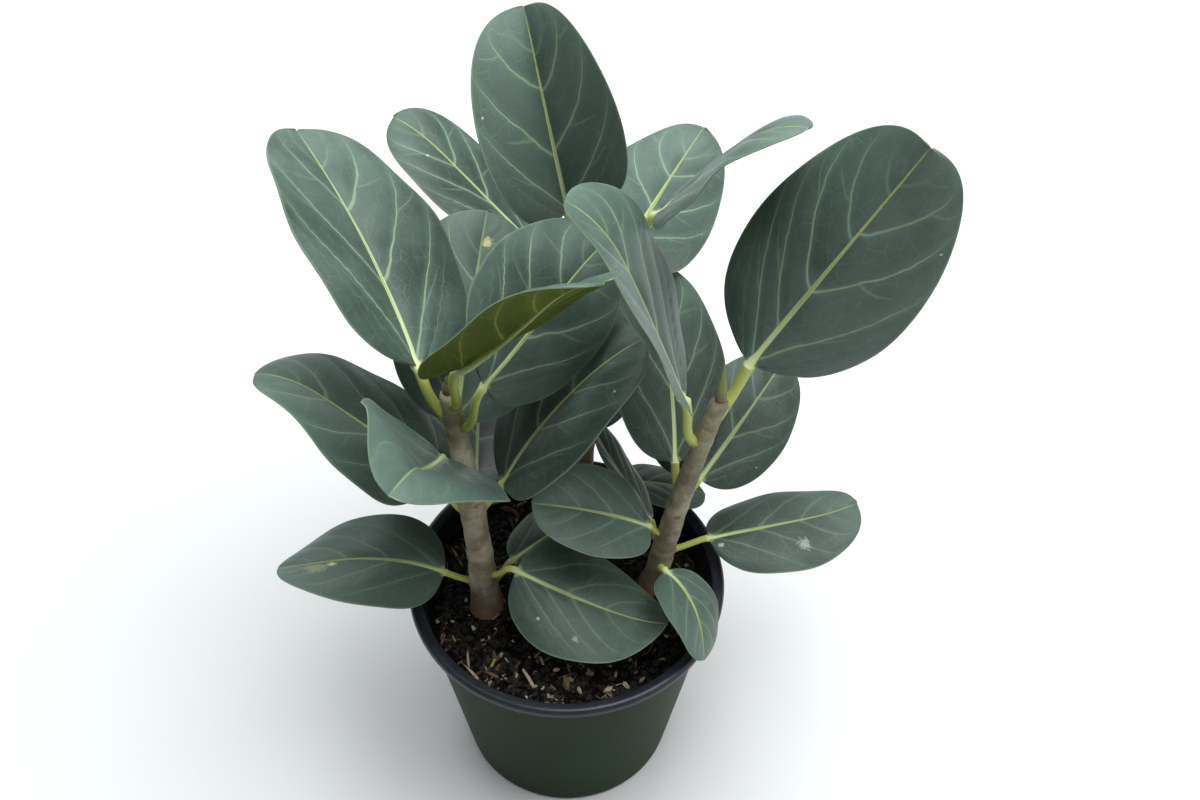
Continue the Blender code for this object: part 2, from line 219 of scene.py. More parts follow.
STEMS = {
    "left": Stem(
        foot=(-0.0415, -0.0110), top=(-0.0525, -0.0020, 0.2700), bow=0.0015,
        low_radius=0.0070, top_radius=0.0043, flare=0.0022, bud=0.011,
    ),
    "right": Stem(
        foot=(0.0460, 0.0060), top=(0.0715, 0.0060, 0.2590), bow=-0.0020,
        low_radius=0.0060, top_radius=0.0042, flare=0.0026, bud=0.024,
    ),
    "back": Stem(
        foot=(0.0040, 0.0540), top=(0.0160, 0.0690, 0.2840), bow=0.0010,
        low_radius=0.0056, top_radius=0.0036, flare=0.0026, bud=0.014,
    ),
}

LEAVES = {
    "left_leaf_1": Leaf(
        "left", 0.255, stalk=(0.016, 158, 0.026), blade=(0.135, 0.091),
        heading=121, rise=22, roll=-31, bend=20, fold=15, cup=5, twist=5, skew=0.12,
    ),
    "left_leaf_2": Leaf(
        "left", 0.265, stalk=(0.019, 295, 0.037), blade=(0.110, 0.073),
        heading=331, rise=54, roll=24, bend=-10, fold=15, twist=10, curl=35, skew=0.18,
    ),
    "left_leaf_3": Leaf(
        "left", 0.249, stalk=(0.018, 331, 0.035), blade=(0.097, 0.077),
        heading=58, rise=11, roll=-57, bend=10, fold=0, twist=40, curl=-25, skew=0.12,
    ),
    "left_leaf_4": Leaf(
        "left", 0.232, stalk=(0.012, 105, 0.008), blade=(0.107, 0.080),
        heading=83, rise=30, roll=-5, bend=25, fold=5, cup=15, twist=-30, curl=-5, skew=0.09,
    ),
    "left_leaf_5": Leaf(
        "left", 0.212, stalk=(0.012, 215, 0.025), blade=(0.119, 0.077),
        heading=273, rise=49, roll=37, bend=-26, fold=17, cup=3, twist=6, curl=66, skew=0.19,
    ),
    "left_leaf_6": Leaf(
        "left", 0.189, stalk=(0.021, 49, 0.006), blade=(0.105, 0.070),
        heading=24, rise=46, bend=35, fold=15, twist=-5, curl=15,
    ),
    "left_leaf_7": Leaf(
        "left", 0.193, stalk=(0.018, 167, 0.023), blade=(0.098, 0.082),
        heading=171, rise=42, roll=-15, bend=-5, twist=-30, curl=50, skew=0.09,
    ),
    "left_leaf_8": Leaf(
        "left", 0.196, stalk=(0.016, 84, 0.004), blade=(0.097, 0.080),
        heading=93, rise=-11, roll=-38, bend=-5, fold=-10, cup=15, twist=30,
    ),
    "left_leaf_9": Leaf(
        "left", 0.163, stalk=(0.032, 115, 0.011), blade=(0.074, 0.050),
        heading=124, rise=-3,
    ),
    "left_leaf_10": Leaf(
        "left", 0.137, stalk=(0.016, 30, 0.009), blade=(0.062, 0.045),
        heading=35, rise=5, roll=-5, fold=-5, cup=15,
    ),
    "left_leaf_11": Leaf(
        "left", 0.148, stalk=(0.021, 331, 0.013), blade=(0.081, 0.064),
        heading=345, rise=-14, roll=-4, bend=-20, fold=0, twist=50, curl=-25, skew=0.09,
    ),
    "left_leaf_12": Leaf(
        "left", 0.140, stalk=(0.020, 180, 0.006), blade=(0.085, 0.066),
        heading=185, rise=4, roll=-10, bend=55, twist=-45, curl=-20, skew=0.0,
    ),
    "right_leaf_1": Leaf(
        "right", 0.254, stalk=(0.015, 24, 0.023), blade=(0.136, 0.088),
        heading=4, rise=62, roll=-54, bend=15, fold=-5, cup=15, twist=5, curl=-25, skew=0.16,
    ),
    "right_leaf_2": Leaf(
        "right", 0.238, stalk=(0.031, 40, 0.032), blade=(0.090, 0.056),
        heading=40, rise=30,
    ),
    "right_leaf_3": Leaf(
        "right", 0.231, stalk=(0.013, 212, 0.036), blade=(0.116, 0.078),
        heading=160, rise=66, roll=-18, bend=5, fold=5, cup=-5, twist=10, curl=40, skew=0.18,
    ),
    "right_leaf_4": Leaf(
        "right", 0.193, stalk=(0.012, 109, 0.010), blade=(0.103, 0.071),
        heading=99, rise=38, roll=-29, bend=20, twist=-5, curl=15,
    ),
    "right_leaf_5": Leaf(
        "right", 0.183, stalk=(0.020, 55, 0.001), blade=(0.085, 0.056),
        heading=55, rise=15, roll=-25, fold=0, cup=15,
    ),
    "right_leaf_6": Leaf(
        "right", 0.149, stalk=(0.012, 126, 0.010), blade=(0.063, 0.028),
        heading=133, rise=36, roll=-38, bend=0, fold=25, cup=15, twist=5, curl=-25,
    ),
    "right_leaf_7": Leaf(
        "right", 0.162, stalk=(0.011, 197, 0.008), blade=(0.069, 0.048),
        heading=194, rise=30, roll=22, bend=30, fold=15, twist=20, curl=5,
    ),
    "right_leaf_8": Leaf(
        "right", 0.170, stalk=(0.029, 75, 0.002), blade=(0.075, 0.050),
        heading=80, rise=5,
    ),
    "right_leaf_9": Leaf(
        "right", 0.147, stalk=(0.024, 12, 0.004), blade=(0.082, 0.057),
        heading=15, rise=0, roll=2, bend=0, fold=0, cup=15, curl=-20, skew=0.0,
    ),
    "right_leaf_10": Leaf(
        "right", 0.141, stalk=(0.023, 274, 0.018), blade=(0.051, 0.038),
        heading=294, rise=-23, roll=31, bend=75, fold=5, twist=30, curl=-5,
    ),
    "back_leaf_1": Leaf(
        "back", 0.276, stalk=(0.022, 138, 0.031), blade=(0.100, 0.074),
        heading=124, rise=69, roll=27, bend=45, fold=35, cup=3, twist=30, curl=5,
    ),
    "back_leaf_2": Leaf(
        "back", 0.279, stalk=(0.025, 358, 0.039), blade=(0.104, 0.051),
        heading=327, rise=54, bend=2, fold=5, cup=12, twist=21, curl=46, skew=0,
    ),
    "back_leaf_3": Leaf(
        "back", 0.268, stalk=(0.020, 38, 0.026), blade=(0.106, 0.073),
        heading=70, rise=-5, roll=-26, bend=-30, fold=-5, cup=15, twist=25, curl=-25,
    ),
    "back_leaf_4": Leaf(
        "back", 0.243, stalk=(0.052, 127, 0.021), blade=(0.098, 0.060),
        heading=148, rise=33, roll=-15, bend=0, fold=5, twist=35, curl=25, skew=0.08,
    ),
    "back_leaf_5": Leaf(
        "back", 0.214, stalk=(0.021, 65, 0.008), blade=(0.088, 0.056),
        heading=80, rise=0,
    ),
    "back_leaf_6": Leaf(
        "back", 0.234, stalk=(0.022, 120, 0.006), blade=(0.095, 0.064),
        heading=120, rise=0,
    ),
    "back_leaf_7": Leaf(
        "back", 0.158, stalk=(0.014, 90, 0.007), blade=(0.085, 0.058),
        heading=90, rise=0,
    ),
    "back_leaf_8": Leaf(
        "back", 0.142, stalk=(0.021, 325, 0.014), blade=(0.055, 0.037),
        heading=10, rise=-20, roll=10, fold=5, twist=-15,
    ),
}


# Marks on the blades: share of the length, reach from the midrib (left is below zero), and size
MARKS = {
    "left_leaf_4": {"yellow_spot": (0.84, 0.10, 0.0048)},
    "left_leaf_12": {"yellow_spot": (0.67, -0.14, 0.0040), "tan_mark": (0.76, -0.26, 0.0090)},
    "left_leaf_11": {"pale_mark": (0.49, 0.66, 0.0030), "pale_fleck": (0.24, 0.60, 0.0016)},
    "right_leaf_9": {"pale_mark": (0.58, 0.53, 0.0060), "pale_fleck": (0.06, 0.42, 0.0024)},
    "back_leaf_4": {"pale_fleck": (0.72, -0.35, 0.0016)},
    "right_leaf_1": {"pale_fleck": (0.72, 0.88, 0.0012)},
}

# How light a blade is, from 0 to 1, where it differs from its neighbours: painted light and shade, lighter
# for blades standing in light and darker for blades in the shade of others
LIGHT_AND_SHADE_TONES = {
    "back_leaf_1": 1.00,
    "back_leaf_2": 1.00,
    "left_leaf_4": 1.00,
    "right_leaf_1": 0.70,
    "left_leaf_1": 0.45,
    "left_leaf_6": 0.00,
    "left_leaf_8": 0.00,
    "right_leaf_4": 0.00,
    "right_leaf_5": 0.10,
    "right_leaf_9": 0.10,
    "right_leaf_7": 0.90,
    "right_leaf_10": 0.80,
    "left_leaf_12": 1.00,
    "left_leaf_5": 1.00,
    "left_leaf_7": 0.90,
    "back_leaf_3": 0.90,
    "back_leaf_4": 0.10,
}

# Blades with fainter veins or a slimmer stalk than the rule gives
FAINT_VEINS = {"left_leaf_5": 0.45}
SLIM_STALKS = {"left_leaf_5": 0.66}

# How strongly each kind of mark covers the blade, and its colour
MARK_TINTS = {
    "yellow_spot": (1.00, (0.50, 0.48, 0.22)),
    "tan_mark": (0.65, (0.30, 0.28, 0.15)),
    "pale_mark": (0.45, (0.45, 0.50, 0.45)),
    "pale_fleck": (0.70, (0.48, 0.52, 0.47)),
}
# A mark of no size, off the blade, for the kinds that a leaf lacks
NO_MARK = (0.5, 3.0, 0.0)

# Leaf scars: height, heading and size
SCARS = {
    "left": ((0.1710, 270.0, 0.0026), (0.2005, 305.0, 0.0024), (0.2280, 250.0, 0.0018)),
    "right": ((0.1795, 270.0, 0.0026), (0.2080, 250.0, 0.0016)),
    "back": ((0.1750, 255.0, 0.0018), (0.2050, 285.0, 0.0018)),
}

# Rings of a small closed solid, as (place along it, reach): a sliver narrows to both ends, a lump less
SLIVER = ((-1.0, 0.35), (-0.55, 0.95), (0.1, 1.0), (0.7, 0.75), (1.0, 0.30))
LUMP = ((-1.0, 0.45), (-0.45, 0.95), (0.3, 1.0), (0.9, 0.55))
SOLID_SIDES = 6

# Loose bits: dark and light colour, roughness and relief
BITS = {
    "bark_bits": ((0.010, 0.006, 0.004), (0.170, 0.110, 0.062), 0.85, 0.0006),
    "straw_bits": ((0.060, 0.042, 0.026), (0.430, 0.345, 0.240), 0.85, 0.0004),
    "soil_crumbs": ((0.0015, 0.0012, 0.001), (0.020, 0.014, 0.010), 0.80, 0.0006),
    "mineral_bits": ((0.160, 0.155, 0.140), (0.420, 0.410, 0.380), 0.90, 0.0004),
    "green_splinters": ((0.120, 0.150, 0.020), (0.300, 0.330, 0.080), 0.60, 0.0002),
}

# Scattered bits: piece, shape, finish, how many, how far gathered in drifts, largest size and tilt
SCATTERED = (
    ("bark_litter", SLIVER, "bark_bits", 260, 0.15, (0.0062, 0.0014, 0.0008), 0.35),
    ("straw_litter", LUMP, "straw_bits", 420, 0.22, (0.0018, 0.0011, 0.0008), 0.60),
    ("fibre_litter", SLIVER, "straw_bits", 60, 0.10, (0.0066, 0.00055, 0.0004), 0.50),
    ("soil_crumbs", LUMP, "soil_crumbs", 2600, 0.0, (0.0021, 0.0018, 0.0014), 0.80),
    ("mineral_litter", LUMP, "mineral_bits", 26, 0.0, (0.0016, 0.0014, 0.0011), 0.80),
    ("green_litter", SLIVER, "green_splinters", 5, 0.0, (0.0065, 0.0008, 0.0005), 0.30),
)

# The larger bits lying at the front of the soil: x, y, heading, length, width
PLACED = {
    "sliver": (SLIVER, "straw_bits", (
        (-0.0464, -0.0515, 135, 0.0115, 0.0014),
        (-0.0490, -0.0440, 97, 0.0095, 0.0012),
        (-0.0117, -0.0440, 101, 0.0100, 0.0017),
        (-0.0140, -0.0410, 60, 0.0060, 0.0012),
        (-0.0175, -0.0560, 127, 0.0110, 0.0022),
        (-0.0359, -0.0181, 56, 0.0070, 0.0010),
    )),
    "chunk": (LUMP, "straw_bits", (
        (0.0033, -0.0554, 127, 0.0042, 0.0026),
        (-0.0040, -0.0500, 30, 0.0034, 0.0022),
        (0.0080, -0.0620, 110, 0.0034, 0.0024),
        (0.0130, -0.0520, 10, 0.0040, 0.0028),
        (0.0221, -0.0600, 26, 0.0050, 0.0030),
        (0.0311, -0.0575, 145, 0.0044, 0.0026),
        (0.0392, -0.0540, 49, 0.0034, 0.0022),
        (0.0260, -0.0520, 80, 0.0030, 0.0020),
        (-0.0590, -0.0210, 151, 0.0022, 0.0016),
    )),
    "mineral": (LUMP, "mineral_bits", ((-0.0476, -0.0255, 144, 0.0030, 0.0022),)),
    "green": (SLIVER, "green_splinters", ((-0.0358, -0.0448, 73, 0.0088, 0.0013),)),
}

# How the bits lie and vary
LITTER_SEED = 7
DRIFT_SCALE = 62.0
DRIFT_FINE_SCALE = 150.0
DRIFT_CHANCE = 0.25
BIT_LEAN = 0.5
BIT_RAGGED = 0.28
BIT_TILT = 0.10
BIT_GROWTH = (0.45, 1.0)
BIT_GROWTH_CURVE = 1.4
BIT_WIDTHS = (0.6, 1.2)
BIT_HEIGHT_SHARE = 0.4
BIT_LIFT = 0.0009
STRAW_FRONT = -0.030
STRAW_FRONT_SPREAD = 0.010
STRAW_LEFT = -0.040

# Soft lights: place, aim, width and height, power, colour
LIGHTS = {
    "top_light": ((0.20, 0.15, 1.75), (0.0, 0.05, 0.10), (1.5, 1.5), 44.0, (0.94, 0.98, 1.00)),
    "back_light": ((-0.25, 1.45, 1.25), (0.0, 0.0, 0.20), (1.8, 1.0), 13.0, (0.90, 0.97, 1.00)),
    "side_light": ((1.35, -0.35, 1.20), (0.0, 0.0, 0.25), (1.2, 1.0), 6.5, (1.00, 0.99, 0.97)),
}

# Camera
CAMERA_TARGET = (0.016, 0.0, 0.264)
CAMERA_DISTANCE = 0.637
CAMERA_ELEVATION = 46.0
CAMERA_TILT = 0.85
LENS = 42.0
SENSOR_WIDTH = 36.0


class Number:
    """A number that a material's nodes work out for each point, ready for plain arithmetic."""

    def __init__(self, finish, socket):
        self.finish = finish
        self.socket = socket

    def __add__(self, other):
        return self.finish.math("ADD", self, other)

    def __sub__(self, other):
        return self.finish.math("SUBTRACT", self, other)

    def __rsub__(self, other):
        return self.finish.math("SUBTRACT", other, self)

    def __mul__(self, other):
        return self.finish.math("MULTIPLY", self, other)

    def __truediv__(self, other):
        return self.finish.math("DIVIDE", self, other)

    def __abs__(self):
        return self.finish.math("ABSOLUTE", self)

    def ease(self, low, high, start=0.0, end=1.0):
        """Run smoothly from start to end while the number goes from low to high."""
        inputs = dict(enumerate((self, low, high, start, end)))
        made = self.finish.add("MapRange", inputs, interpolation_type="SMOOTHSTEP")
        return Number(self.finish, made[0])


class Finish:
    """A procedural material while its nodes are being wired."""

    def __init__(self, name, roughness=0.5, specular=0.5):
        self.material = bpy.data.materials.new(name)
        self.material.use_nodes = True
        self.tree = self.material.node_tree
        self.shader = self.tree.nodes["Principled BSDF"]
        self.feed(self.shader, {"Roughness": roughness, "Specular IOR Level": specular})

    def feed(self, node, inputs):
        """Give a node's sockets plain numbers, colours or other nodes' outputs."""
        for key, value in inputs.items():
            socket = node.inputs[key]
            source = value.socket if isinstance(value, Number) else value
            if isinstance(source, bpy.types.NodeSocket):
                self.tree.links.new(source, socket)
            else:
                socket.default_value = (*source, 1.0) if socket.type == "RGBA" else source

    def add(self, kind, inputs, **settings):
        """Add a node of a kind, set its properties, feed it and give its outputs."""
        made = self.tree.nodes.new("ShaderNode" + kind)
        for key, value in settings.items():
            setattr(made, key, value)
        self.feed(made, inputs)
        return made.outputs

    def vector(self, name):
        """The vector of a named attribute."""
        return self.add("Attribute", {}, attribute_name=name)["Vector"]

    def number(self, name):
        """The number of a named attribute."""
        return Number(self, self.add("Attribute", {}, attribute_name=name)["Fac"])

    def place(self):
        """Where a point of the piece lies, in metres."""
        return self.add("TexCoord", {})["Object"]

    def parts(self, vector):
        """The three numbers of a vector."""
        return [Number(self, part) for part in self.add("SeparateXYZ", {0: vector})]

    def attribute(self, name):
        """The three numbers of a named attribute."""
        return self.parts(self.vector(name))

    def math(self, operation, *values):
        """One arithmetic step."""
        return Number(self, self.add("Math", dict(enumerate(values)), operation=operation)[0])

    def mix(self, share, first, second):
        """Blend two colours."""
        return self.add("Mix", {0: share, 6: first, 7: second}, data_type="RGBA")[2]

    def blend(self, share, first, second):
        """Blend two numbers."""
        return Number(self, self.add("Mix", {0: share, 2: first, 3: second}, data_type="FLOAT")[0])

    def layered(self, colour, *layers):
        """Lay tints over a colour one after another, each with the share that it covers."""
        for share, tint in layers:
            colour = self.mix(share, colour, tint)
        return colour

    def grain(self, vector, scale, detail=3.0, roughness=0.55):
        """Soft noise between 0 and 1."""
        inputs = {"Vector": vector, "Scale": scale, "Detail": detail, "Roughness": roughness}
        return Number(self, self.add("TexNoise", inputs)["Fac"])

    def stretched(self, vector, scale):
        """A vector stretched along its axes."""
        return self.add("Mapping", {"Vector": vector, "Scale": scale})["Vector"]

    def streaks(self, vector, scales, detail=3.0):
        """Soft noise between 0 and 1 with a scale for each axis."""
        return self.grain(self.stretched(vector, scales), 1.0, detail)

    def cells(self, vector, scale, feature="DISTANCE_TO_EDGE"):
        """Cells: their distance to the edge, or their distance and colour for the nearest point."""
        made = self.add("TexVoronoi", {"Vector": vector, "Scale": scale}, feature=feature)
        return Number(self, made[0]), made[1]

    def length(self, x, y):
        """How far a point lies from the middle."""
        return self.math("SQRT", x * x + y * y)

    def nearness(self, x, y, name):
        """How near a point of a blade is to the middle of a mark: 1 at the middle, 0 at its size."""
        mark_x, mark_y, size = self.attribute(name)
        return 1.0 - self.length(x - mark_x, y - mark_y) / self.math("MAXIMUM", size, 1e-5)

    def raise_by(self, height, distance):
        """Turn a height between 0 and 1 into relief of a real depth."""
        made = self.add("Bump", {"Strength": 1.0, "Distance": distance, "Height": height})
        self.feed(self.shader, {"Normal": made["Normal"]})

    def coat(self, colour, roughness=None):
        """Set the base colour, and the roughness where it varies."""
        self.feed(self.shader, {"Base Color": colour})
        if roughness is not None:
            self.feed(self.shader, {"Roughness": roughness})
        return self.material


def vein_lines(made, reach, share, strength, flat):
    """Where the side veins of a blade show, with their forks, and the paler bands along and between them."""
    left_phase, right_phase, spacing = made.attribute("vein_lines")
    chance = made.attribute("flat")[2]
    away = abs(reach)
    wander = made.grain(flat, 55.0, 2.0) * 0.22 - 0.11
    phase = made.blend(made.math("GREATER_THAN", reach, 0.0), left_phase, right_phase) + wander
    offset = abs(phase - made.math("ROUND", phase))
    distance = offset * spacing
    half = away.ease(0.0, 0.95, *SIDE_VEIN_HALF)
    main = (distance / half).ease(0.40, 1.45, 1.0, 0.0) * strength
    main = main * away.ease(0.66, 0.98, 1.0, 0.12) * share.ease(0.80, 0.95, 1.0, 0.12)

    parent = made.math("CEIL", phase)
    swing = made.math("SINE", parent * 2.4 + chance * 7.0)
    past = away - (swing * FORK_SPREAD + FORK_START)
    fork = abs(phase - parent + past * FORK_SLOPE) * spacing / half
    fork = fork.ease(0.2, 1.2, 0.34, 0.0) * past.ease(0.22, 0.50, 1.0, 0.0)
    fork = fork * made.math("GREATER_THAN", past, 0.0) * strength

    glow = distance.ease(0.0, 0.0035, 0.12, 0.0) * strength
    between = ((0.5 - offset) * spacing / 0.00030).ease(0.3, 1.6, 0.08, 0.0)
    between = between * away.ease(0.25, 0.60, 1.0, 0.0) * strength
    return made.math("MAXIMUM", main, fork), glow, between


def blade_finish(name, dark, light, vein, midrib, relief, roughness, specular):
    """One face of a blade: mottled green, a painted sheen of sky light towards the tip, pale midrib and side
    veins, a fine net, specks and marks.

    Relief is the sign of the veins: below zero they are sunk, above zero they stand out.
    """
    made = Finish(name, roughness, specular)
    flat = made.vector("flat")
    across, along, _ = made.attribute("flat")
    reach, share, tone = made.attribute("blade")
    away = abs(reach)
    strength = made.number("vein_strength")
    side_line, glow, between = vein_lines(made, reach, share, strength, flat)

    rib = (abs(across) / share.ease(0.0, 0.80, *MIDRIB_HALF)).ease(0.6, 1.25, 1.0, 0.0)
    rib = rib * share.ease(0.80, 0.99, 1.0, 0.2) * strength.ease(0.20, 0.80, 0.45, 1.0)
    flare = made.length(across, along).ease(0.0012, 0.0042, 0.75, 0.0)

    ladder = made.cells(made.stretched(flat, (1.0, 0.62, 1.0)), 150.0)[0].ease(0.0, 0.050, 1.0, 0.0)
    net = made.cells(flat, 480.0)[0].ease(0.0, 0.14, 1.0, 0.0)
    fine = (net * 0.045 + ladder * 0.10) * made.grain(flat, 90.0, 2.0).ease(0.38, 0.62, 0.25, 1.0)

    cloud = made.grain(flat, 34.0, 4.0)
    # Painted sheen: the blade is lightened towards its tip, in patches, as if it reflected the bright sky
    painted_tip_sheen = share.ease(0.50, 1.0) * cloud.ease(0.30, 0.70, 0.15, 0.50)
    specks, speck_colour = made.cells(flat, 95.0, "F1")
    rare = made.math("GREATER_THAN", made.parts(speck_colour)[0], 0.94)
    # The blade's tone lightens or darkens its green: painted light and shade on the listed blades, random
    # tone on the others
    colour = made.layered(
        made.mix((cloud + tone * 0.45).ease(0.40, 0.95), dark, light),
        (painted_tip_sheen, [1.7 * part for part in light]),
        (made.math("MAXIMUM", fine, between) + glow, vein),
        (side_line * 0.72, vein),
        (rib, midrib),
        (flare, midrib),
        (away.ease(0.965, 0.995) * 0.35, vein),
        (specks.ease(0.03, 0.075, 0.75, 0.0) * rare, (0.52, 0.60, 0.55)),
    )
    ragged = made.grain(flat, 620.0, 3.0) * 1.6 - 0.8
    for kind, (strongest, tint) in MARK_TINTS.items():
        mark = made.nearness(across, along, kind) + ragged
        colour = made.mix(mark.ease(0.30, 0.75, 0.0, strongest), colour, tint)

    skin = made.grain(flat, 900.0, 2.0)
    lines = made.math("MAXIMUM", side_line * 0.8, fine * 1.6)
    made.raise_by(lines * relief + skin * 0.22, 0.00032)
    made.feed(made.shader, {
        "Sheen Weight": 0.20 * specular, "Sheen Roughness": 0.40, "Sheen Tint": (0.75, 0.92, 1.00),
    })
    return made.coat(colour, cloud * 0.14 + skin * 0.10 + (roughness - 0.12))


def margin_finish():
    """The cut edge of a blade, paler than its faces."""
    made = Finish("leaf_margin")
    mottle = made.grain(made.place(), 260.0)
    return made.coat(made.mix(mottle, (0.11, 0.16, 0.09), (0.20, 0.26, 0.14)))


def stalk_finish():
    """Smooth yellow-green stalk, browner at its root and pale where the blade begins."""
    made = Finish("leaf_stalk", roughness=0.42, specular=0.45)
    along, around, _ = made.attribute("run")
    streak = made.streaks(made.vector("run"), (9.0, 60.0, 1.0), 4.0)
    colour = made.layered(
        made.mix(streak, (0.300, 0.345, 0.065), (0.500, 0.535, 0.130)),
        (along.ease(0.84, 1.0, 0.0, 0.85), (0.560, 0.640, 0.300)),
        (along.ease(0.0, 0.14, 0.70, 0.0), (0.170, 0.120, 0.040)),
        (along.ease(1.05, 1.35), (0.270, 0.320, 0.100)),
    )
    dots = made.cells(made.place(), 900.0, "F1")[0]
    made.raise_by(streak * 0.6 + dots * 0.4, 0.00012)
    return made.coat(colour, around * 0.05 + 0.40)


def bark_finish():
    """Grey-brown young bark: fine upright fissures, ring scars, pale pores, rusty foot and leaf scars."""
    made = Finish("young_bark", roughness=0.72, specular=0.3)
    place = made.place()
    rise = made.attribute("run")[0]
    cloud = made.grain(place, 75.0, 4.0)
    upright = made.streaks(place, (1100.0, 1100.0, 110.0), 4.0)
    crosswise = made.streaks(place, (160.0, 160.0, 1500.0))
    pore = made.cells(made.stretched(place, (1.0, 1.0, 0.55)), 430.0, "F1")[0].ease(0.10, 0.20, 0.55, 0.0)
    ragged = made.grain(place, 700.0, 3.0) * 0.8 - 0.4
    ring = (made.number("scar") + ragged).ease(0.35, 0.75)
    rusty = (made.number("rust") + ragged).ease(0.30, 0.95, 0.0, 0.80)
    colour = made.layered(
        made.mix(cloud.ease(0.32, 0.68), (0.150, 0.122, 0.078), (0.335, 0.300, 0.212)),
        (rise.ease(0.45, 1.0, 0.0, 0.30), (0.190, 0.205, 0.105)),
        (upright.ease(0.56, 0.70) * 0.35, (0.075, 0.058, 0.036)),
        (crosswise.ease(0.60, 0.72) * 0.40, (0.330, 0.292, 0.220)),
        (pore, (0.360, 0.308, 0.225)),
        (ring * 0.22, (0.120, 0.070, 0.038)),
        (rusty, (0.190, 0.092, 0.050)),
    )
    made.raise_by(upright * 0.5 + crosswise * 0.35 - ring * 0.3 + pore * 0.7, 0.00030)
    return made.coat(colour, cloud * 0.2 + 0.60)


def bud_finish(name, low, high):
    """The pointed sheath over a growing tip, darker at its foot."""
    made = Finish(name)
    along = made.attribute("run")[0]
    streak = made.streaks(made.place(), (1400.0, 1400.0, 90.0))
    made.raise_by(streak, 0.0002)
    return made.coat(made.mix(streak * 0.45, made.mix(along.ease(0.0, 0.45), low, high), low))


def pot_finish():
    """Dark green moulded plastic, faintly streaked, brownish towards the rim and dusty."""
    made = Finish("pot_plastic", specular=0.05)
    place = made.place()
    height = made.parts(place)[2]
    cloud = made.grain(place, 16.0, 4.0)
    streak = made.streaks(place, (240.0, 240.0, 9.0))
    dust = made.grain(place, 420.0, 5.0, 0.7).ease(0.62, 0.78, 0.0, 0.16)
    colour = made.layered(
        made.mix(cloud.ease(0.35, 0.65), (0.005, 0.018, 0.005), (0.010, 0.027, 0.009)),
        (height.ease(0.060, 0.126) * cloud.ease(0.40, 0.62, 0.10, 0.40), (0.022, 0.022, 0.011)),
        (streak * 0.20, (0.020, 0.036, 0.016)),
        (dust, (0.090, 0.085, 0.060)),
    )
    made.raise_by(made.grain(place, 1500.0, 2.0) * 0.6 + streak * 0.4, 0.00010)
    return made.coat(colour, cloud * 0.16 + 0.36)


def rim_finish():
    """The rim and the inner wall: near-black with a blue cast, scuffed, with soil dust inside."""
    made = Finish("pot_rim", roughness=0.38, specular=0.40)
    place = made.place()
    cloud = made.grain(place, 40.0, 4.0)
    scuff = made.streaks(place, (300.0, 300.0, 900.0), 4.0)
    low = made.parts(place)[2].ease(0.119, 0.127, 0.85, 0.0)
    colour = made.layered(
        made.mix(cloud.ease(0.35, 0.70), (0.007, 0.008, 0.015), (0.015, 0.017, 0.027)),
        (scuff.ease(0.62, 0.76, 0.0, 0.30), (0.060, 0.063, 0.080)),
        (low * made.grain(place, 500.0, 4.0).ease(0.42, 0.62), (0.040, 0.028, 0.018)),
    )
    made.raise_by(scuff, 0.00012)
    return made.coat(colour, cloud * 0.20 + 0.26)


def soil_finish():
    """Moist potting mix: near-black crumbs with brown fibres and a few glints."""
    made = Finish("potting_soil", roughness=0.9, specular=0.10)
    place = made.place()
    cloud = made.grain(place, 120.0, 5.0, 0.65)
    crumb = made.cells(place, 620.0, "F1")[0]
    fibre = made.streaks(place, (500.0, 1500.0, 800.0), 4.0)
    colour = made.layered(
        made.mix(cloud.ease(0.36, 0.70), (0.0015, 0.0012, 0.0010), (0.008, 0.006, 0.004)),
        (fibre.ease(0.62, 0.76, 0.0, 0.50), (0.045, 0.030, 0.018)),
    )
    made.raise_by(cloud * 1.2 - crumb, 0.0016)
    return made.coat(colour, cloud.ease(0.30, 0.70, 0.55, 0.95))


def bits_finish(name, dark, light, roughness, relief):
    """Loose bits in the soil, each with its own shade from the tone given to it."""
    made = Finish(name, roughness, specular=0.3)
    streak = made.grain(made.place(), 900.0, 4.0, 0.6)
    made.raise_by(streak, relief)
    return made.coat(made.mix(streak * 0.45 + made.number("tone") * 0.75, dark, light))


def floor_finish():
    """A plain pale floor."""
    made = Finish("pale_floor", roughness=0.8, specular=0.2)
    cloud = made.grain(made.place(), 3.0, 2.0)
    return made.coat(made.mix(cloud, (0.66, 0.66, 0.655), (0.69, 0.69, 0.685)))


def stem_point(stem, height):
    """Centre of the stem at a height: a straight lean with a sideways bow."""
    share = (height - SOIL_LEVEL) / (stem.top[2] - SOIL_LEVEL)
    x = stem.foot[0] + (stem.top[0] - stem.foot[0]) * share + stem.bow * math.sin(math.pi * share)
    y = stem.foot[1] + (stem.top[1] - stem.foot[1]) * share
    return Vector((x, y, height))


def stem_radius(stem, height):
    """Radius of the stem at a height, with the root flare at its foot."""
    share = min(max((height - SOIL_LEVEL) / (stem.top[2] - SOIL_LEVEL), 0.0), 1.0)
    taper = stem.low_radius + (stem.top_radius - stem.low_radius) * share ** TAPER_CURVE
    return taper + stem.flare * math.exp(-(height - SOIL_LEVEL) / FLARE_REACH)


def blade_axes(leaf):
    """Unit vectors along the blade at mid-length, up from its upper face, and to its left."""
    heading, rise, roll = (math.radians(v) for v in (leaf.heading, leaf.rise, leaf.roll))
    along = Vector((
        math.cos(rise) * math.cos(heading), math.cos(rise) * math.sin(heading), math.sin(rise)
    ))
    level_up = Vector((
        -math.sin(rise) * math.cos(heading), -math.sin(rise) * math.sin(heading), math.cos(rise)
    ))
    level_side = level_up.cross(along)
    up = math.cos(roll) * level_up + math.sin(roll) * level_side
    side = math.cos(roll) * level_side - math.sin(roll) * level_up
    return along, up, side


def bend_angle(leaf, share):
    """Angle of the midrib above its mid-length direction, from base to tip."""
    tip_part = max(share - CURL_START, 0.0) / (1 - CURL_START)
    return math.radians(leaf.bend * (0.5 - share) - leaf.curl * tip_part ** 2)


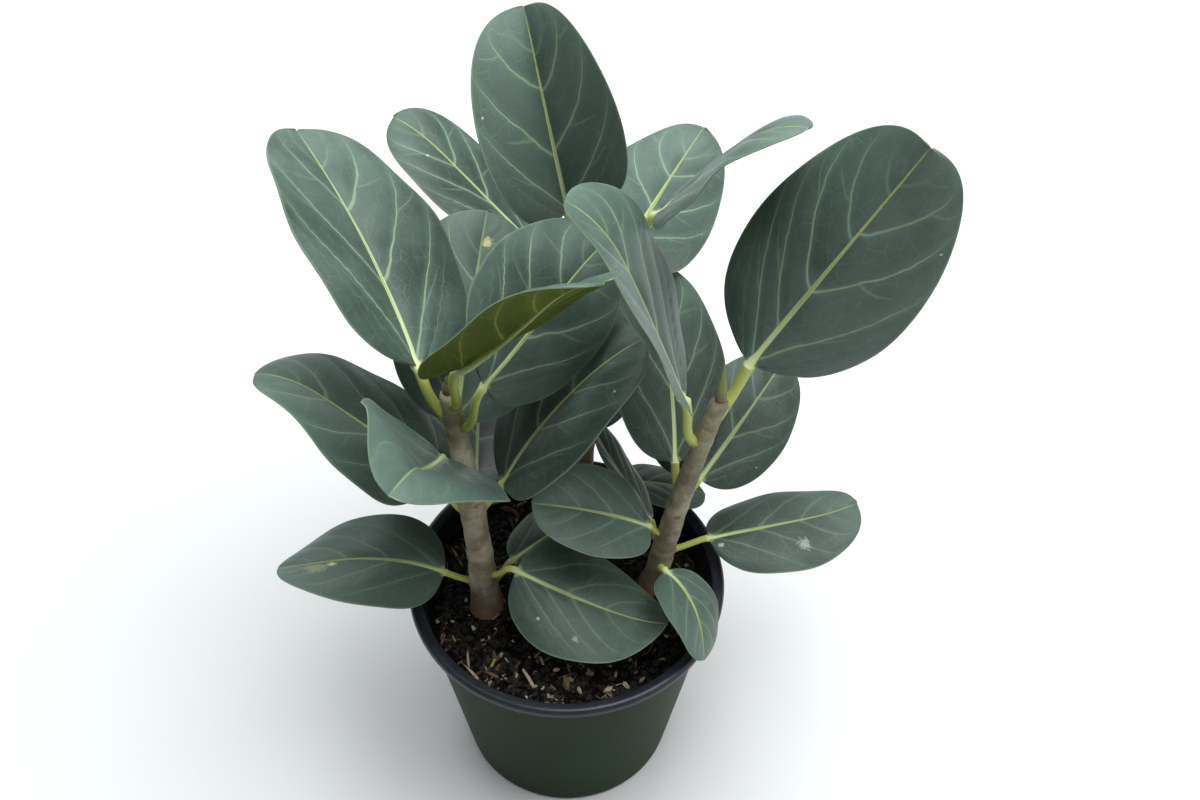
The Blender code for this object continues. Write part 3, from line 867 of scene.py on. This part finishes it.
def blade_base(leaf):
    """Where the stalk ends and the blade begins."""
    reach, heading, climb = leaf.stalk
    turn = math.radians(heading)
    start = stem_point(STEMS[leaf.stem], leaf.node)
    return start + Vector((reach * math.cos(turn), reach * math.sin(turn), climb))


def midrib(leaf):
    """Points along the midrib at equal steps, starting at the blade's base."""
    along, up, _ = blade_axes(leaf)
    points = [blade_base(leaf)]
    for k in range(BLADE_STEPS):
        angle = bend_angle(leaf, (k + 0.5) / BLADE_STEPS)
        step = math.cos(angle) * along + math.sin(angle) * up
        points.append(points[-1] + step * leaf.blade[0] / BLADE_STEPS)
    return points


def half_width(leaf, share):
    """Half the blade's width at a share of its length: broad, blunt and round at both ends."""
    sweep = math.acos(1 - 2 * share)
    return leaf.blade[1] / 2 * math.sin(sweep) ** BLADE_FULLNESS * (1 + leaf.skew * math.cos(sweep))


def blade_frame(leaf, points, share):
    """Place, direction, normal and left-hand side of the blade at a share of its length."""
    along, up, side = blade_axes(leaf)
    at = share * BLADE_STEPS
    low = min(int(at), BLADE_STEPS - 1)
    place = points[low].lerp(points[low + 1], at - low)
    angle = bend_angle(leaf, share)
    tangent = math.cos(angle) * along + math.sin(angle) * up
    normal = math.cos(angle) * up - math.sin(angle) * along
    twist = math.radians(leaf.twist) * (share - 0.5)
    left = math.cos(twist) * side - math.sin(twist) * normal
    above = math.cos(twist) * normal + math.sin(twist) * side
    return place, tangent, above, left


def half_section(leaf, reach):
    """Sideways and upward share of the half width at a reach from the midrib: a V easing flat."""
    fold = math.radians(leaf.fold)
    ease = 2 * math.radians(leaf.cup)
    across = (np.sin(fold) - np.sin(fold - ease * reach)) / ease
    lift = (np.cos(fold - ease * reach) - np.cos(fold)) / ease
    return across, lift


def stalk_path(leaf, points):
    """Cubic curve from the stem to the blade's base."""
    stem = STEMS[leaf.stem]
    centre = stem_point(stem, leaf.node)
    axis = (stem_point(stem, leaf.node + 0.002) - stem_point(stem, leaf.node - 0.002)).normalized()
    base = points[0]
    outward = base - centre
    outward = (outward - axis * outward.dot(axis)).normalized()
    start = centre + outward * (stem_radius(stem, leaf.node - STALK_ROOT_RADIUS) + FIT_GAP)
    span = (base - start).length
    _, tangent, _, _ = blade_frame(leaf, points, 0.0)
    leave = ((base - start).normalized() + outward * STALK_SPREAD).normalized()
    pull = span * STALK_PULL
    return start, start + leave * pull, base - tangent * pull, base, outward


def bezier(a, b, c, d, t):
    """Point and direction on a cubic curve."""
    s = 1 - t
    point = a * s ** 3 + b * 3 * s * s * t + c * 3 * s * t * t + d * t ** 3
    slope = (b - a) * 3 * s * s + (c - b) * 6 * s * t + (d - c) * 3 * t * t
    return point, slope.normalized()


def select(*pieces):
    """Select these pieces and nothing else, with the first of them active."""
    bpy.ops.object.select_all(action="DESELECT")
    for piece in pieces:
        piece.select_set(True)
    bpy.context.view_layer.objects.active = pieces[0]
    return pieces[0]


def fresh(name):
    """The primitive just added, named and alone in the selection."""
    made = select(bpy.context.object)
    made.name = name
    return made


def in_scene(name, data):
    """A new object made of a mesh, a lamp or a camera."""
    made = bpy.data.objects.new(name, data)
    bpy.context.scene.collection.objects.link(made)
    return made


def copy_of(blank, name):
    """A copy of a blank with a mesh of its own."""
    made = in_scene(name, blank.data.copy())
    made.data.name = name
    return made


def discard(piece):
    """Remove an object that is no longer needed."""
    bpy.data.objects.remove(piece, do_unlink=True)


def points_of(piece):
    """The vertices of a piece as an array."""
    places = np.empty(len(piece.data.vertices) * 3)
    piece.data.vertices.foreach_get("co", places)
    return places.reshape(-1, 3)


def move_points(piece, places):
    """Put the vertices of a piece at new places."""
    piece.data.vertices.foreach_set("co", places.ravel())
    piece.data.update()


def note(piece, name, *columns):
    """Store a number, or the three numbers of a vector, at each vertex."""
    kind, key = ("FLOAT", "value") if len(columns) == 1 else ("FLOAT_VECTOR", "vector")
    values = np.column_stack(np.broadcast_arrays(*columns))
    piece.data.attributes.new(name, kind, "POINT").data.foreach_set(key, values.astype(float).ravel())


def apply_modifiers(piece):
    """Apply every modifier of a piece."""
    bpy.context.view_layer.objects.active = piece
    for modifier in list(piece.modifiers):
        bpy.ops.object.modifier_apply(modifier=modifier.name)


def thicken(piece, thickness, under=0, edge=0):
    """Give a sheet a thickness below its face, with the finishes of its underside and edge."""
    plate = piece.modifiers.new("thickness", "SOLIDIFY")
    plate.thickness = thickness
    plate.offset = -1.0
    plate.material_offset = under
    plate.material_offset_rim = edge
    apply_modifiers(piece)


def smoothed(piece, angle):
    """Shade a piece smooth, with edges sharper than an angle left crisp."""
    select(piece)
    bpy.ops.object.shade_smooth_by_angle(angle=math.radians(angle))


def joined(name, *pieces):
    """Join pieces into the first of them."""
    whole = select(*pieces)
    bpy.ops.object.join()
    whole.name = name
    whole.data.name = name
    return whole


def settle(piece, slot, *nodes):
    """Let a piece ride on the object and stand for its nodes; its slot is not used."""
    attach(piece, "root")
    for node in nodes:
        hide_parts(node)


def turned(name, profile, sides):
    """Raise a profile of (radius, height) ring by ring from a filled circle, closed at the end."""
    radius, height = profile[0]
    bpy.ops.mesh.primitive_circle_add(
        vertices=sides, radius=radius, fill_type="NGON", location=(0, 0, height)
    )
    made = fresh(name)
    bpy.ops.object.transform_apply()
    bpy.ops.object.mode_set(mode="EDIT")
    bpy.ops.mesh.select_mode(type="FACE")
    bpy.ops.mesh.select_all(action="SELECT")
    for before, after in zip(profile, profile[1:]):
        step = (0.0, 0.0, after[1] - before[1])
        bpy.ops.mesh.extrude_region_move(TRANSFORM_OT_translate={"value": step})
        ratio = after[0] / before[0]
        bpy.ops.transform.resize(value=(ratio, ratio, 1.0), center_override=(0.0, 0.0, after[1]))
    bpy.ops.mesh.select_all(action="SELECT")
    bpy.ops.mesh.normals_make_consistent(inside=False)
    bpy.ops.object.mode_set(mode="OBJECT")
    return made


def tube_blank(name, sides, rings):
    """A round rod of unit radius whose rings lie one unit apart."""
    return turned(name, [(1.0, float(k)) for k in range(rings + 1)], sides)


def rod(blank, name, centres, radii, runs, axes=None):
    """Shape a copy of a tube blank along a path: a centre, radius and pair of axes for each ring.

    Its notes are how far each point lies along the path and around it.
    """
    made = copy_of(blank, name)
    flat = points_of(made)
    ring = np.rint(flat[:, 2]).astype(int)
    axes = np.array(axes or [np.eye(3)[:2]] * len(radii))[ring]
    spread = flat[:, 0:1] * axes[:, 0] + flat[:, 1:2] * axes[:, 1]
    move_points(made, np.array(centres)[ring] + np.array(radii)[ring][:, None] * spread)
    turn = np.arctan2(flat[:, 1], flat[:, 0]) / (2 * math.pi) + 0.5
    note(made, "run", np.array(runs)[ring], turn, 0.0)
    return made, ring


def fade(distance, span):
    """From 0 at no distance to 1 at a span and beyond."""
    return np.clip(distance / span, 0, 1)


def peak(distance, reach):
    """A smooth rise that is 1 at no distance and falls away over a reach."""
    return np.exp(-(distance / reach) ** 2)


def vein_phases(rng, share, away, half, leaf):
    """Which side vein a point lies on, as a running number, with their spacing and strength there.

    A vein leaves the midrib at its station, squarely at first, and then runs forward almost straight.
    The lowest veins run forward most, so all of them draw together towards the margin. The veins of the
    young leaves, high on the stem, stand out more than those of the old ones.
    """
    close = rng.uniform() < CLOSE_CHANCE
    stations = np.array(CLOSE_STATIONS if close else VEIN_STATIONS)
    strengths = np.array(CLOSE_STRENGTHS if close else VEIN_STRENGTHS)
    movable = stations > 0.1
    stations = stations + rng.uniform(-VEIN_JITTER, VEIN_JITTER, len(stations)) * movable
    rise = VEIN_RISE * rng.uniform(*VEIN_RISE_SPREAD)
    last = len(stations) - 1
    middles = (stations[:-1] + stations[1:]) / 2
    out = away - VEIN_SHOULDER * (1 - np.exp(-away / VEIN_SHOULDER_REACH))
    narrowing = 1 - VEIN_GATHER * out
    local = (share - rise * out) / narrowing
    phase = np.interp(local, stations, np.arange(last + 1), left=-0.5, right=last + 0.5)
    slope = (rise - VEIN_GATHER * local) / np.maximum(half, 0.004)
    spacing = np.interp(local, middles, np.diff(stations)) * narrowing / np.hypot(1 / leaf.blade[0], slope)
    nearest = np.clip(np.rint(phase), 0, last).astype(int)
    youth = np.clip((leaf.node - OLD_NODE) / (YOUNG_NODE - OLD_NODE), OLD_VEINS, 1.0)
    return phase, spacing, strengths[nearest] * youth


def shape_blade(blank, node, leaf, rng):
    """One blade: the blank bent to the leaf's rule, puckered between its veins, with its notes stored."""
    made = copy_of(blank, node + "_look")
    flat = points_of(made)
    points = midrib(leaf)
    length = leaf.blade[0]
    reach = np.sign(flat[:, 0]) * np.abs(flat[:, 0]) ** COLUMN_CROWDING
    away = np.abs(reach)
    sweep = math.pi * (BLADE_END + (1 - 2 * BLADE_END) * (flat[:, 1] + 1) / 2)
    share = (1 - np.cos(sweep)) / 2
    rows, row = np.unique(np.round(share, 9), return_inverse=True)
    frames = [blade_frame(leaf, points, s) for s in rows]
    place, _, above, left = (np.array(part)[row] for part in zip(*frames))
    half = np.array([half_width(leaf, s) for s in rows])[row]
    across, lift = half_section(leaf, away)

    on_right = reach > 0
    sides = [vein_phases(rng, share, away, half, leaf) for _ in ("left", "right")]
    phase, spacing, strength = (np.where(on_right, second, first) for first, second in zip(*sides))

    pillow = np.abs(np.sin(math.pi * phase)) * fade(away, RIB_CLEAR)
    pillow *= fade(1 - away, MARGIN_CLEAR) * fade(1 - share, TIP_CLEAR)
    waves = rng.uniform(*WAVE_COUNT)
    start = rng.uniform(0, 2 * math.pi)
    wave = np.sin(2 * math.pi * waves * share + start + WAVE_SHIFT * on_right) * away ** 3
    wave *= fade(share, WAVE_CLEAR)
    channel = peak(across * half, RIB_CHANNEL_HALF) * fade(1 - share, WAVE_CLEAR)
    relief = length * (PILLOW_RISE * pillow + MARGIN_WAVE * wave) - RIB_CHANNEL * channel
    sideways = np.where(on_right, -1.0, 1.0) * across * half
    move_points(made, place + left * sideways[:, None] + above * (lift * half + relief)[:, None])

    usual_tone = rng.uniform(*USUAL_TONES)
    # The blade's tone: painted light and shade for the listed blades, a random tone for the rest
    note(made, "blade", reach, share, LIGHT_AND_SHADE_TONES.get(node, usual_tone))
    note(made, "flat", reach * half, share * length, rng.uniform(0, 1))
    note(made, "vein_lines", sides[0][0], sides[1][0], spacing)
    note(made, "vein_strength", FAINT_VEINS.get(node, 1.0) * strength)
    for kind in MARK_TINTS:
        at, mark_reach, size = MARKS.get(node, {}).get(kind, NO_MARK)
        note(made, kind, mark_reach * half_width(leaf, at), at * length, np.full(len(share), size))
    return made, points


def stalk_and_rib(blank, name, leaf, points, slim):
    """The stalk, swollen at both ends, that runs on beneath the blade as its midrib."""
    start, leave, arrive, base, outward = stalk_path(leaf, points)
    start = start - outward * STALK_SUNK
    _, tangent, above, left = blade_frame(leaf, points, 0.0)
    rings = []
    for k in reversed(range(STALK_RINGS)):
        share = k / STALK_RINGS
        centre, slope = bezier(start, leave, arrive, base, share)
        swing = tangent.rotation_difference(slope)
        above = swing @ above
        left = swing @ left
        tangent = slope
        swell = ROOT_SWELL * math.exp(-share / SWELL_REACH) + NECK_SWELL * peak(1 - share, SWELL_REACH)
        rings.append((centre, slim * (1 + swell), share, (left.copy(), above.copy())))
    rings.reverse()
    for k in range(RIB_RINGS + 1):
        share = RIB_END * k / RIB_RINGS
        place, _, above, left = blade_frame(leaf, points, share)
        radius = slim * (RIB_TIP_SHARE + RIB_TAPER * (1 - share) ** RIB_TAPER_CURVE)
        radius *= 1 + RIB_SWELL * math.exp(-share / RIB_SWELL_REACH)
        proud = RIB_PROUD * math.exp(-share / RIB_PROUD_REACH) - RIB_SUNK
        rings.append((place + above * (radius * (proud - 1)), radius, 1.0 + share, (left, above)))
    centres, radii, runs, axes = zip(*rings)
    return rod(blank, name, centres, radii, runs, axes)[0]


def make_leaf(node, leaf, blanks, finishes, rng):
    """One leaf: a thin blade over a stalk that runs on beneath it as the midrib."""
    blade, points = shape_blade(blanks["blade"], node, leaf, rng)
    for finish in finishes[:3]:
        blade.data.materials.append(finish)
    thicken(blade, BLADE_THICKNESS, under=1, edge=2)
    size = SLIM_STALKS.get(node, min(max(leaf.blade[0] / USUAL_LENGTH, STALK_SIZES[0]), STALK_SIZES[1]))
    stalk = stalk_and_rib(blanks["stalk"], node + "_stalk", leaf, points, STALK_SLIM * size)
    stalk.data.materials.append(finishes[3])
    piece = joined(node + "_look", blade, stalk)
    smoothed(piece, angle=50.0)
    settle(piece, "leaf_green", node)


def main_leaves():
    """Every leaf of the three stems."""
    upper = blade_finish(
        "leaf_upper", dark=(0.025, 0.044, 0.032), light=(0.060, 0.094, 0.075), vein=(0.215, 0.305, 0.200),
        midrib=(0.430, 0.530, 0.285), relief=-0.9, roughness=0.46, specular=0.32,
    )
    under = blade_finish(
        "leaf_underside", dark=(0.034, 0.052, 0.002), light=(0.062, 0.088, 0.006),
        vein=(0.180, 0.225, 0.030), midrib=(0.280, 0.330, 0.050), relief=1.0, roughness=0.62, specular=0.10,
    )
    finishes = (upper, under, margin_finish(), stalk_finish())
    bpy.ops.mesh.primitive_grid_add(x_subdivisions=BLADE_COLUMNS, y_subdivisions=BLADE_ROWS, size=2.0)
    blanks = {
        "blade": fresh("blade_blank"),
        "stalk": tube_blank("stalk_blank", STALK_SIDES, STALK_RINGS + RIB_RINGS),
    }
    for number, (node, leaf) in enumerate(LEAVES.items()):
        make_leaf(node, leaf, blanks, finishes, np.random.default_rng(LEAF_SEED + number))
    for blank in blanks.values():
        discard(blank)


def stem_rings(stem, nodes, heights):
    """Radius of the stem at each height, swollen at its nodes, and how near a ring scar it is."""
    above_node = heights[:, None] - nodes
    swell = NODE_SWELL * peak(above_node, NODE_REACH).sum(axis=1)
    above_ring = above_node - RING_ABOVE_NODE
    groove = RING_GROOVE * peak(above_ring, RING_GROOVE_REACH).sum(axis=1)
    shoulder = 1 - np.minimum((stem.top[2] - heights) / STEM_SHOULDER, 1.0)
    round_off = BUD_BASE_SHARE + (1 - BUD_BASE_SHARE) * np.sqrt(1 - shoulder ** 2)
    plain = np.array([stem_radius(stem, max(h, SOIL_LEVEL)) for h in heights])
    return (plain + swell - groove) * round_off, peak(above_ring, RING_MARK_REACH).max(axis=1)


def make_stem(side, stem, blank, bark, bud_look):
    """One stem: tapered and leaning, with swollen nodes, ring scars and leaf scars, and its bud."""
    name = side + "_stem_look"
    nodes = np.array([leaf.node for leaf in LEAVES.values() if leaf.stem == side])
    heights = np.linspace(SOIL_LEVEL - STEM_SUNK, stem.top[2], STEM_RINGS + 1)
    centres = [stem_point(stem, h) for h in heights]
    radii, ringed = stem_rings(stem, nodes, heights)
    runs = (heights - heights[0]) / (heights[-1] - heights[0])
    trunk, ring = rod(blank, name, centres, radii, runs)
    places = points_of(trunk)
    outward = places - np.array(centres)[ring]
    outward /= np.linalg.norm(outward, axis=1)[:, None]
    rusty = np.clip(1.1 - (places[:, 2] - SOIL_LEVEL) / RUSTY_FOOT, 0, 1)
    above_top = places[:, 2] - stem.top[2] - 0.0006
    rusty = np.maximum(rusty, RUSTY_TIP * peak(above_top, RUSTY_TIP_REACH))
    for height, angle, size in SCARS[side]:
        heading = math.radians(angle)
        facing = Vector((math.cos(heading), math.sin(heading), 0.0))
        spot = stem_point(stem, height) + facing * stem_radius(stem, height)
        gap = np.linalg.norm((places - np.array(spot)) / (1.0, 1.0, 0.8), axis=1)
        rusty = np.maximum(rusty, np.clip(1.35 - gap / size, 0, 1))
        dent = SCAR_RIM * peak(gap - size, SCAR_RIM_REACH)
        dent -= SCAR_HOLLOW * np.clip(1 - gap / size, 0, 1)
        places += outward * dent[:, None]
    lumps = [
        noise.noise(Vector(p) * BARK_LUMP_SCALE) + 0.5 * noise.noise(Vector(p) * BARK_DENT_SCALE)
        for p in places
    ]
    move_points(trunk, places + outward * BARK_LUMPS * np.array(lumps)[:, None])
    note(trunk, "scar", 0.85 * ringed[ring])
    note(trunk, "rust", rusty)
    trunk.data.materials.append(bark)
    piece = joined(name, trunk, make_bud(name + "_bud", stem, bud_look))
    smoothed(piece, angle=60.0)
    settle(piece, "bark", side + "_stem")


def make_bud(name, stem, look):
    """The pointed sheath at the stem's tip, round and slightly bellied."""
    blank = tube_blank("bud_blank", BUD_SIDES, BUD_RINGS)
    share = np.linspace(0.0, 1.0, BUD_RINGS + 1)
    narrowing = BUD_BASE_SHARE * (1 - (1 - BUD_TIP_SHARE) * share ** BUD_CURVE)
    belly = 1 + BUD_BELLY * np.sin(math.pi * np.minimum(share * 1.6, 1.0))
    blunt = 1 - 0.75 * fade(share - BUD_BLUNT_FROM, 1 - BUD_BLUNT_FROM)
    top = np.array(stem_point(stem, stem.top[2]))
    centres = top + np.outer(stem.bud * share - BUD_SUNK, (0.0, 0.0, 1.0))
    made, _ = rod(blank, name, centres, stem.top_radius * narrowing * belly * blunt, share)
    made.data.materials.append(look)
    discard(blank)
    return made


def main_stems():
    """The three stems."""
    blank = tube_blank("stem_blank", STEM_SIDES, STEM_RINGS)
    bark = bark_finish()
    brown = bud_finish("brown_bud", low=(0.070, 0.040, 0.020), high=(0.130, 0.120, 0.045))
    green = bud_finish("green_bud", low=(0.105, 0.070, 0.025), high=(0.165, 0.200, 0.045))
    for side, stem in STEMS.items():
        make_stem(side, stem, blank, bark, green if side == "right" else brown)
    discard(blank)


def wall_radius(height):
    """Outer radius of the tapered wall at a height."""
    share = height / (POT_HEIGHT - LIP_HEIGHT)
    return POT_BASE_RADIUS + (POT_WALL_TOP_RADIUS - POT_BASE_RADIUS) * share


def inner_radius(height):
    """Inner radius of the tapered wall at a height."""
    return wall_radius(height) - POT_WALL


def arc(centre, radius, start, end, steps):
    """Points of (radius, height) along an arc, its angles in degrees from outward towards up."""
    turns = [math.radians(start + (end - start) * k / steps) for k in range(steps + 1)]
    return [(centre[0] + radius * math.cos(t), centre[1] + radius * math.sin(t)) for t in turns]


def main_pot():
    """The pot: tapered wall, rolled rim with a bead under it, floor with drain holes."""
    lip_foot = POT_HEIGHT - LIP_HEIGHT
    inner = inner_radius(POT_HEIGHT)
    pot = turned("pot_look", [
        (POT_BASE_RADIUS - 0.0035, 0.0),
        *arc((POT_BASE_RADIUS - 0.0030, FOOT_ROLL), FOOT_ROLL, -85, -5, 6),
        *((wall_radius(h), h) for h in np.linspace(0.006, lip_foot - 0.0015, 14)),
        (wall_radius(lip_foot) + 0.0006, lip_foot),
        *arc((LIP_RADIUS - LIP_BEAD - 0.0002, lip_foot + LIP_BEAD), LIP_BEAD, -90, 60, 7),
        (LIP_RADIUS - 0.0009, lip_foot + 2 * LIP_BEAD + 0.0007),
        *arc((LIP_RADIUS - LIP_ROLL, POT_HEIGHT - LIP_ROLL), LIP_ROLL, -15, 90, 10),
        (inner + 0.0022, POT_HEIGHT - 0.0005),
        *arc((inner + 0.0016, POT_HEIGHT - 0.0026), LIP_INNER_ROLL, 100, 180, 6),
        *((inner_radius(h), h) for h in np.linspace(POT_HEIGHT - 0.006, POT_FLOOR + 0.004, 12)),
        (inner_radius(POT_FLOOR) - 0.003, POT_FLOOR),
    ], POT_SIDES)
    pot.data.materials.append(pot_finish())
    pot.data.materials.append(rim_finish())
    for face in pot.data.polygons:
        x, y, z = face.center
        inside = math.hypot(x, y) < wall_radius(z) - POT_WALL / 2 and z > POT_FLOOR / 2
        if inside or z > lip_foot - 0.0002:
            face.material_index = 1

    cutters = []
    for k in range(DRAIN_HOLES):
        turn = 2 * math.pi * k / DRAIN_HOLES
        bpy.ops.mesh.primitive_cylinder_add(
            vertices=DRAIN_SIDES, radius=DRAIN_HOLE_RADIUS, depth=4 * POT_FLOOR,
            location=(DRAIN_RING_RADIUS * math.cos(turn), DRAIN_RING_RADIUS * math.sin(turn), POT_FLOOR),
        )
        cutters.append(fresh("drain_cutter"))
    cutter = joined("drain_cutter", *cutters)
    bpy.ops.object.transform_apply()
    cut = pot.modifiers.new("drain_holes", "BOOLEAN")
    cut.operation = "DIFFERENCE"
    cut.object = cutter
    apply_modifiers(pot)
    discard(cutter)
    smoothed(pot, angle=35.0)
    settle(pot, "pot_plastic", "pot")


def soil_height(x, y):
    """Height of the soil's surface: clods and hollows, a little lower along the wall."""
    out = math.hypot(x, y) / inner_radius(SOIL_LEVEL)
    clods = noise.fractal(Vector((x, y, 0.3)) * CLOD_SCALE, 0.9, 2.1, 4)
    hollows = noise.noise(Vector((x, y, 7.1)) * HOLLOW_SCALE)
    drop = SOIL_SETTLED + SOIL_EDGE_DROP * max(out - SOIL_EDGE, 0) / (1 - SOIL_EDGE)
    return SOIL_LEVEL + CLODS * clods + HOLLOWS * hollows - drop


def main_soil():
    """The filling: a crumbly surface over a plain body that fills the pot."""
    bpy.ops.mesh.primitive_grid_add(x_subdivisions=CRUST_GRID, y_subdivisions=CRUST_GRID, size=2.0)
    crust = fresh("soil_crust")
    across, along, _ = points_of(crust).T
    wide = np.abs(across) >= np.abs(along)
    turn = math.pi / 4 * np.where(
        wide, along / np.where(across == 0, 1, across), 2 - across / np.where(along == 0, 1, along)
    )
    radius = (inner_radius(SOIL_LEVEL - SOIL_EDGE_DROP) - FIT_GAP) * np.where(wide, across, along)
    x = radius * np.cos(turn)
    y = radius * np.sin(turn)
    heights = [soil_height(*place) for place in zip(x, y)]
    move_points(crust, np.column_stack([x, y, heights]))
    thicken(crust, CRUST)

    depth = SOIL_LEVEL - 2 * CRUST
    floor = POT_FLOOR + FIT_GAP
    body = turned("soil_body", [
        (inner_radius(floor) - 2 * FIT_GAP - 0.0005, floor),
        (inner_radius(depth) - 2 * FIT_GAP, depth),
        (inner_radius(depth) - CRUST, depth + CRUST),
    ], SOIL_SIDES)
    soil = joined("soil_look", crust, body)
    soil.data.materials.append(soil_finish())
    smoothed(soil, angle=80.0)
    settle(soil, "soil", "soil")


def scatter(rng, count, gathered):
    """Random places on the soil, clear of the wall, with their heights; gathered in drifts above zero."""
    limit = inner_radius(SOIL_LEVEL) - WALL_CLEARANCE
    places = []
    while len(places) < count:
        x, y = rng.uniform(-limit, limit, 2)
        drift = noise.noise(Vector((x, y, 0.5)) * DRIFT_SCALE)
        drift += 0.6 * noise.noise(Vector((x, y, 2.5)) * DRIFT_FINE_SCALE)
        kept = drift + DRIFT_CHANCE * rng.normal() > gathered
        if math.hypot(x, y) < limit and (gathered == 0 or kept):
            places.append((x, y, soil_height(x, y)))
    return places


def small_solid(rings):
    """Vertices and faces of a small closed solid."""
    vertices = []
    for along, reach in rings:
        for k in range(SOLID_SIDES):
            turn = 2 * math.pi * (k + 0.5 * (along > 0)) / SOLID_SIDES
            vertices.append((along, reach * math.cos(turn), reach * math.sin(turn)))
    faces = [tuple(reversed(range(SOLID_SIDES)))]
    for start in range(0, len(vertices) - SOLID_SIDES, SOLID_SIDES):
        for k in range(SOLID_SIDES):
            a = start + k
            b = start + (k + 1) % SOLID_SIDES
            faces.append((a, b, b + SOLID_SIDES, a + SOLID_SIDES))
    faces.append(tuple(range(len(vertices) - SOLID_SIDES, len(vertices))))
    return np.array(vertices), faces


def litter(name, rings, places, sizes, tilts, rng, look, headings=None):
    """Copies of one small solid, stretched and turned, joined into one piece with a tone for each."""
    shape, faces = small_solid(rings)
    vertices = []
    tones = []
    for k, (place, size, tilt) in enumerate(zip(places, sizes, tilts)):
        turn = rng.uniform(0, 2 * math.pi)
        spin = Matrix.Rotation(math.radians(headings[k]) if headings else turn, 3, "Z")
        lean = Matrix.Rotation(tilt, 3, "X") @ Matrix.Rotation(rng.uniform(-BIT_LEAN, BIT_LEAN), 3, "Y")
        ragged = shape * (1 + rng.uniform(-BIT_RAGGED, BIT_RAGGED, shape.shape))
        vertices.append((ragged * size) @ np.array((spin @ lean).transposed()) + place)
        tones += [rng.uniform(0, 1)] * len(shape)
    mesh = bpy.data.meshes.new(name)
    all_faces = [tuple(v + len(shape) * k for v in face) for k in range(len(vertices)) for face in faces]
    mesh.from_pydata(np.concatenate(vertices).tolist(), [], all_faces)
    mesh.update()
    made = in_scene(name, mesh)
    note(made, "tone", tones)
    mesh.materials.append(look)
    smoothed(made, angle=30.0)
    settle(made, "soil")


def main_litter():
    """Bark slivers, crumbs, pale mineral bits and a green splinter lying in the soil."""
    rng = np.random.default_rng(LITTER_SEED)
    looks = {name: bits_finish(name, *settings) for name, settings in BITS.items()}
    for name, rings, look, count, gathered, largest, tilt in SCATTERED:
        places = scatter(rng, count, gathered)
        if name == "straw_litter":
            places = [
                (x, y, z) for x, y, z in places
                if y < STRAW_FRONT + STRAW_FRONT_SPREAD * rng.normal() and x > STRAW_LEFT
            ]
        long, wide, high = largest
        growth = rng.uniform(*BIT_GROWTH, len(places)) ** BIT_GROWTH_CURVE
        sizes = [(long * g, wide * g * rng.uniform(*BIT_WIDTHS), high * g) for g in growth]
        tilts = rng.uniform(-tilt, tilt, len(places))
        litter(name, rings, places, sizes, tilts, rng, looks[look])
    for kind, (rings, look, bits) in PLACED.items():
        places = [(x, y, soil_height(x, y) + BIT_LIFT) for x, y, *_ in bits]
        sizes = [(long / 2, wide / 2, BIT_HEIGHT_SHARE * wide) for *_, long, wide in bits]
        tilts = [BIT_TILT * (-1) ** k for k in range(len(bits))]
        headings = [bit[2] for bit in bits]
        litter("placed_" + kind + "_litter", rings, places, sizes, tilts, rng, looks[look], headings)


def add_camera():
    """The camera, looking down at the plant as the photograph does."""
    elevation = math.radians(CAMERA_ELEVATION)
    tilt = math.radians(CAMERA_TILT)
    forward = Vector((0.0, math.cos(elevation), -math.sin(elevation)))
    right = Vector((1.0, 0.0, 0.0))
    up = right.cross(forward)
    tilted_right = math.cos(tilt) * right + math.sin(tilt) * up
    tilted_up = math.cos(tilt) * up - math.sin(tilt) * right
    pose = Matrix((tilted_right, tilted_up, -forward)).transposed().to_4x4()
    pose.translation = Vector(CAMERA_TARGET) - forward * CAMERA_DISTANCE
    lens = bpy.data.cameras.new("camera")
    lens.sensor_width = SENSOR_WIDTH
    lens.lens = LENS
    camera = in_scene("camera", lens)
    camera.matrix_world = pose
    bpy.context.scene.camera = camera


def add_stage():
    """A pale floor, soft studio light from above and behind, and an even pale sky."""
    bpy.ops.mesh.primitive_plane_add(size=8.0, location=(0, 0, -0.0002))
    floor = fresh("floor")
    bpy.ops.object.transform_apply()
    floor.data.materials.append(floor_finish())
    for name, (place, aim, size, power, colour) in LIGHTS.items():
        lamp = bpy.data.lights.new(name, "AREA")
        lamp.shape = "RECTANGLE"
        lamp.size, lamp.size_y = size
        lamp.energy = power
        lamp.color = colour
        made = in_scene(name, lamp)
        made.location = place
        made.rotation_euler = (Vector(aim) - Vector(place)).to_track_quat("-Z", "Y").to_euler()
    world = bpy.data.worlds.new("studio")
    world.use_nodes = True
    sky = world.node_tree.nodes["Background"]
    sky.inputs["Color"].default_value = (0.93, 0.96, 1.0, 1.0)
    sky.inputs["Strength"].default_value = 0.40
    bpy.context.scene.world = world
    bpy.context.scene.view_settings.view_transform = "Standard"


add_stage()
add_camera()
main_pot()
main_soil()
main_litter()
main_stems()
main_leaves()
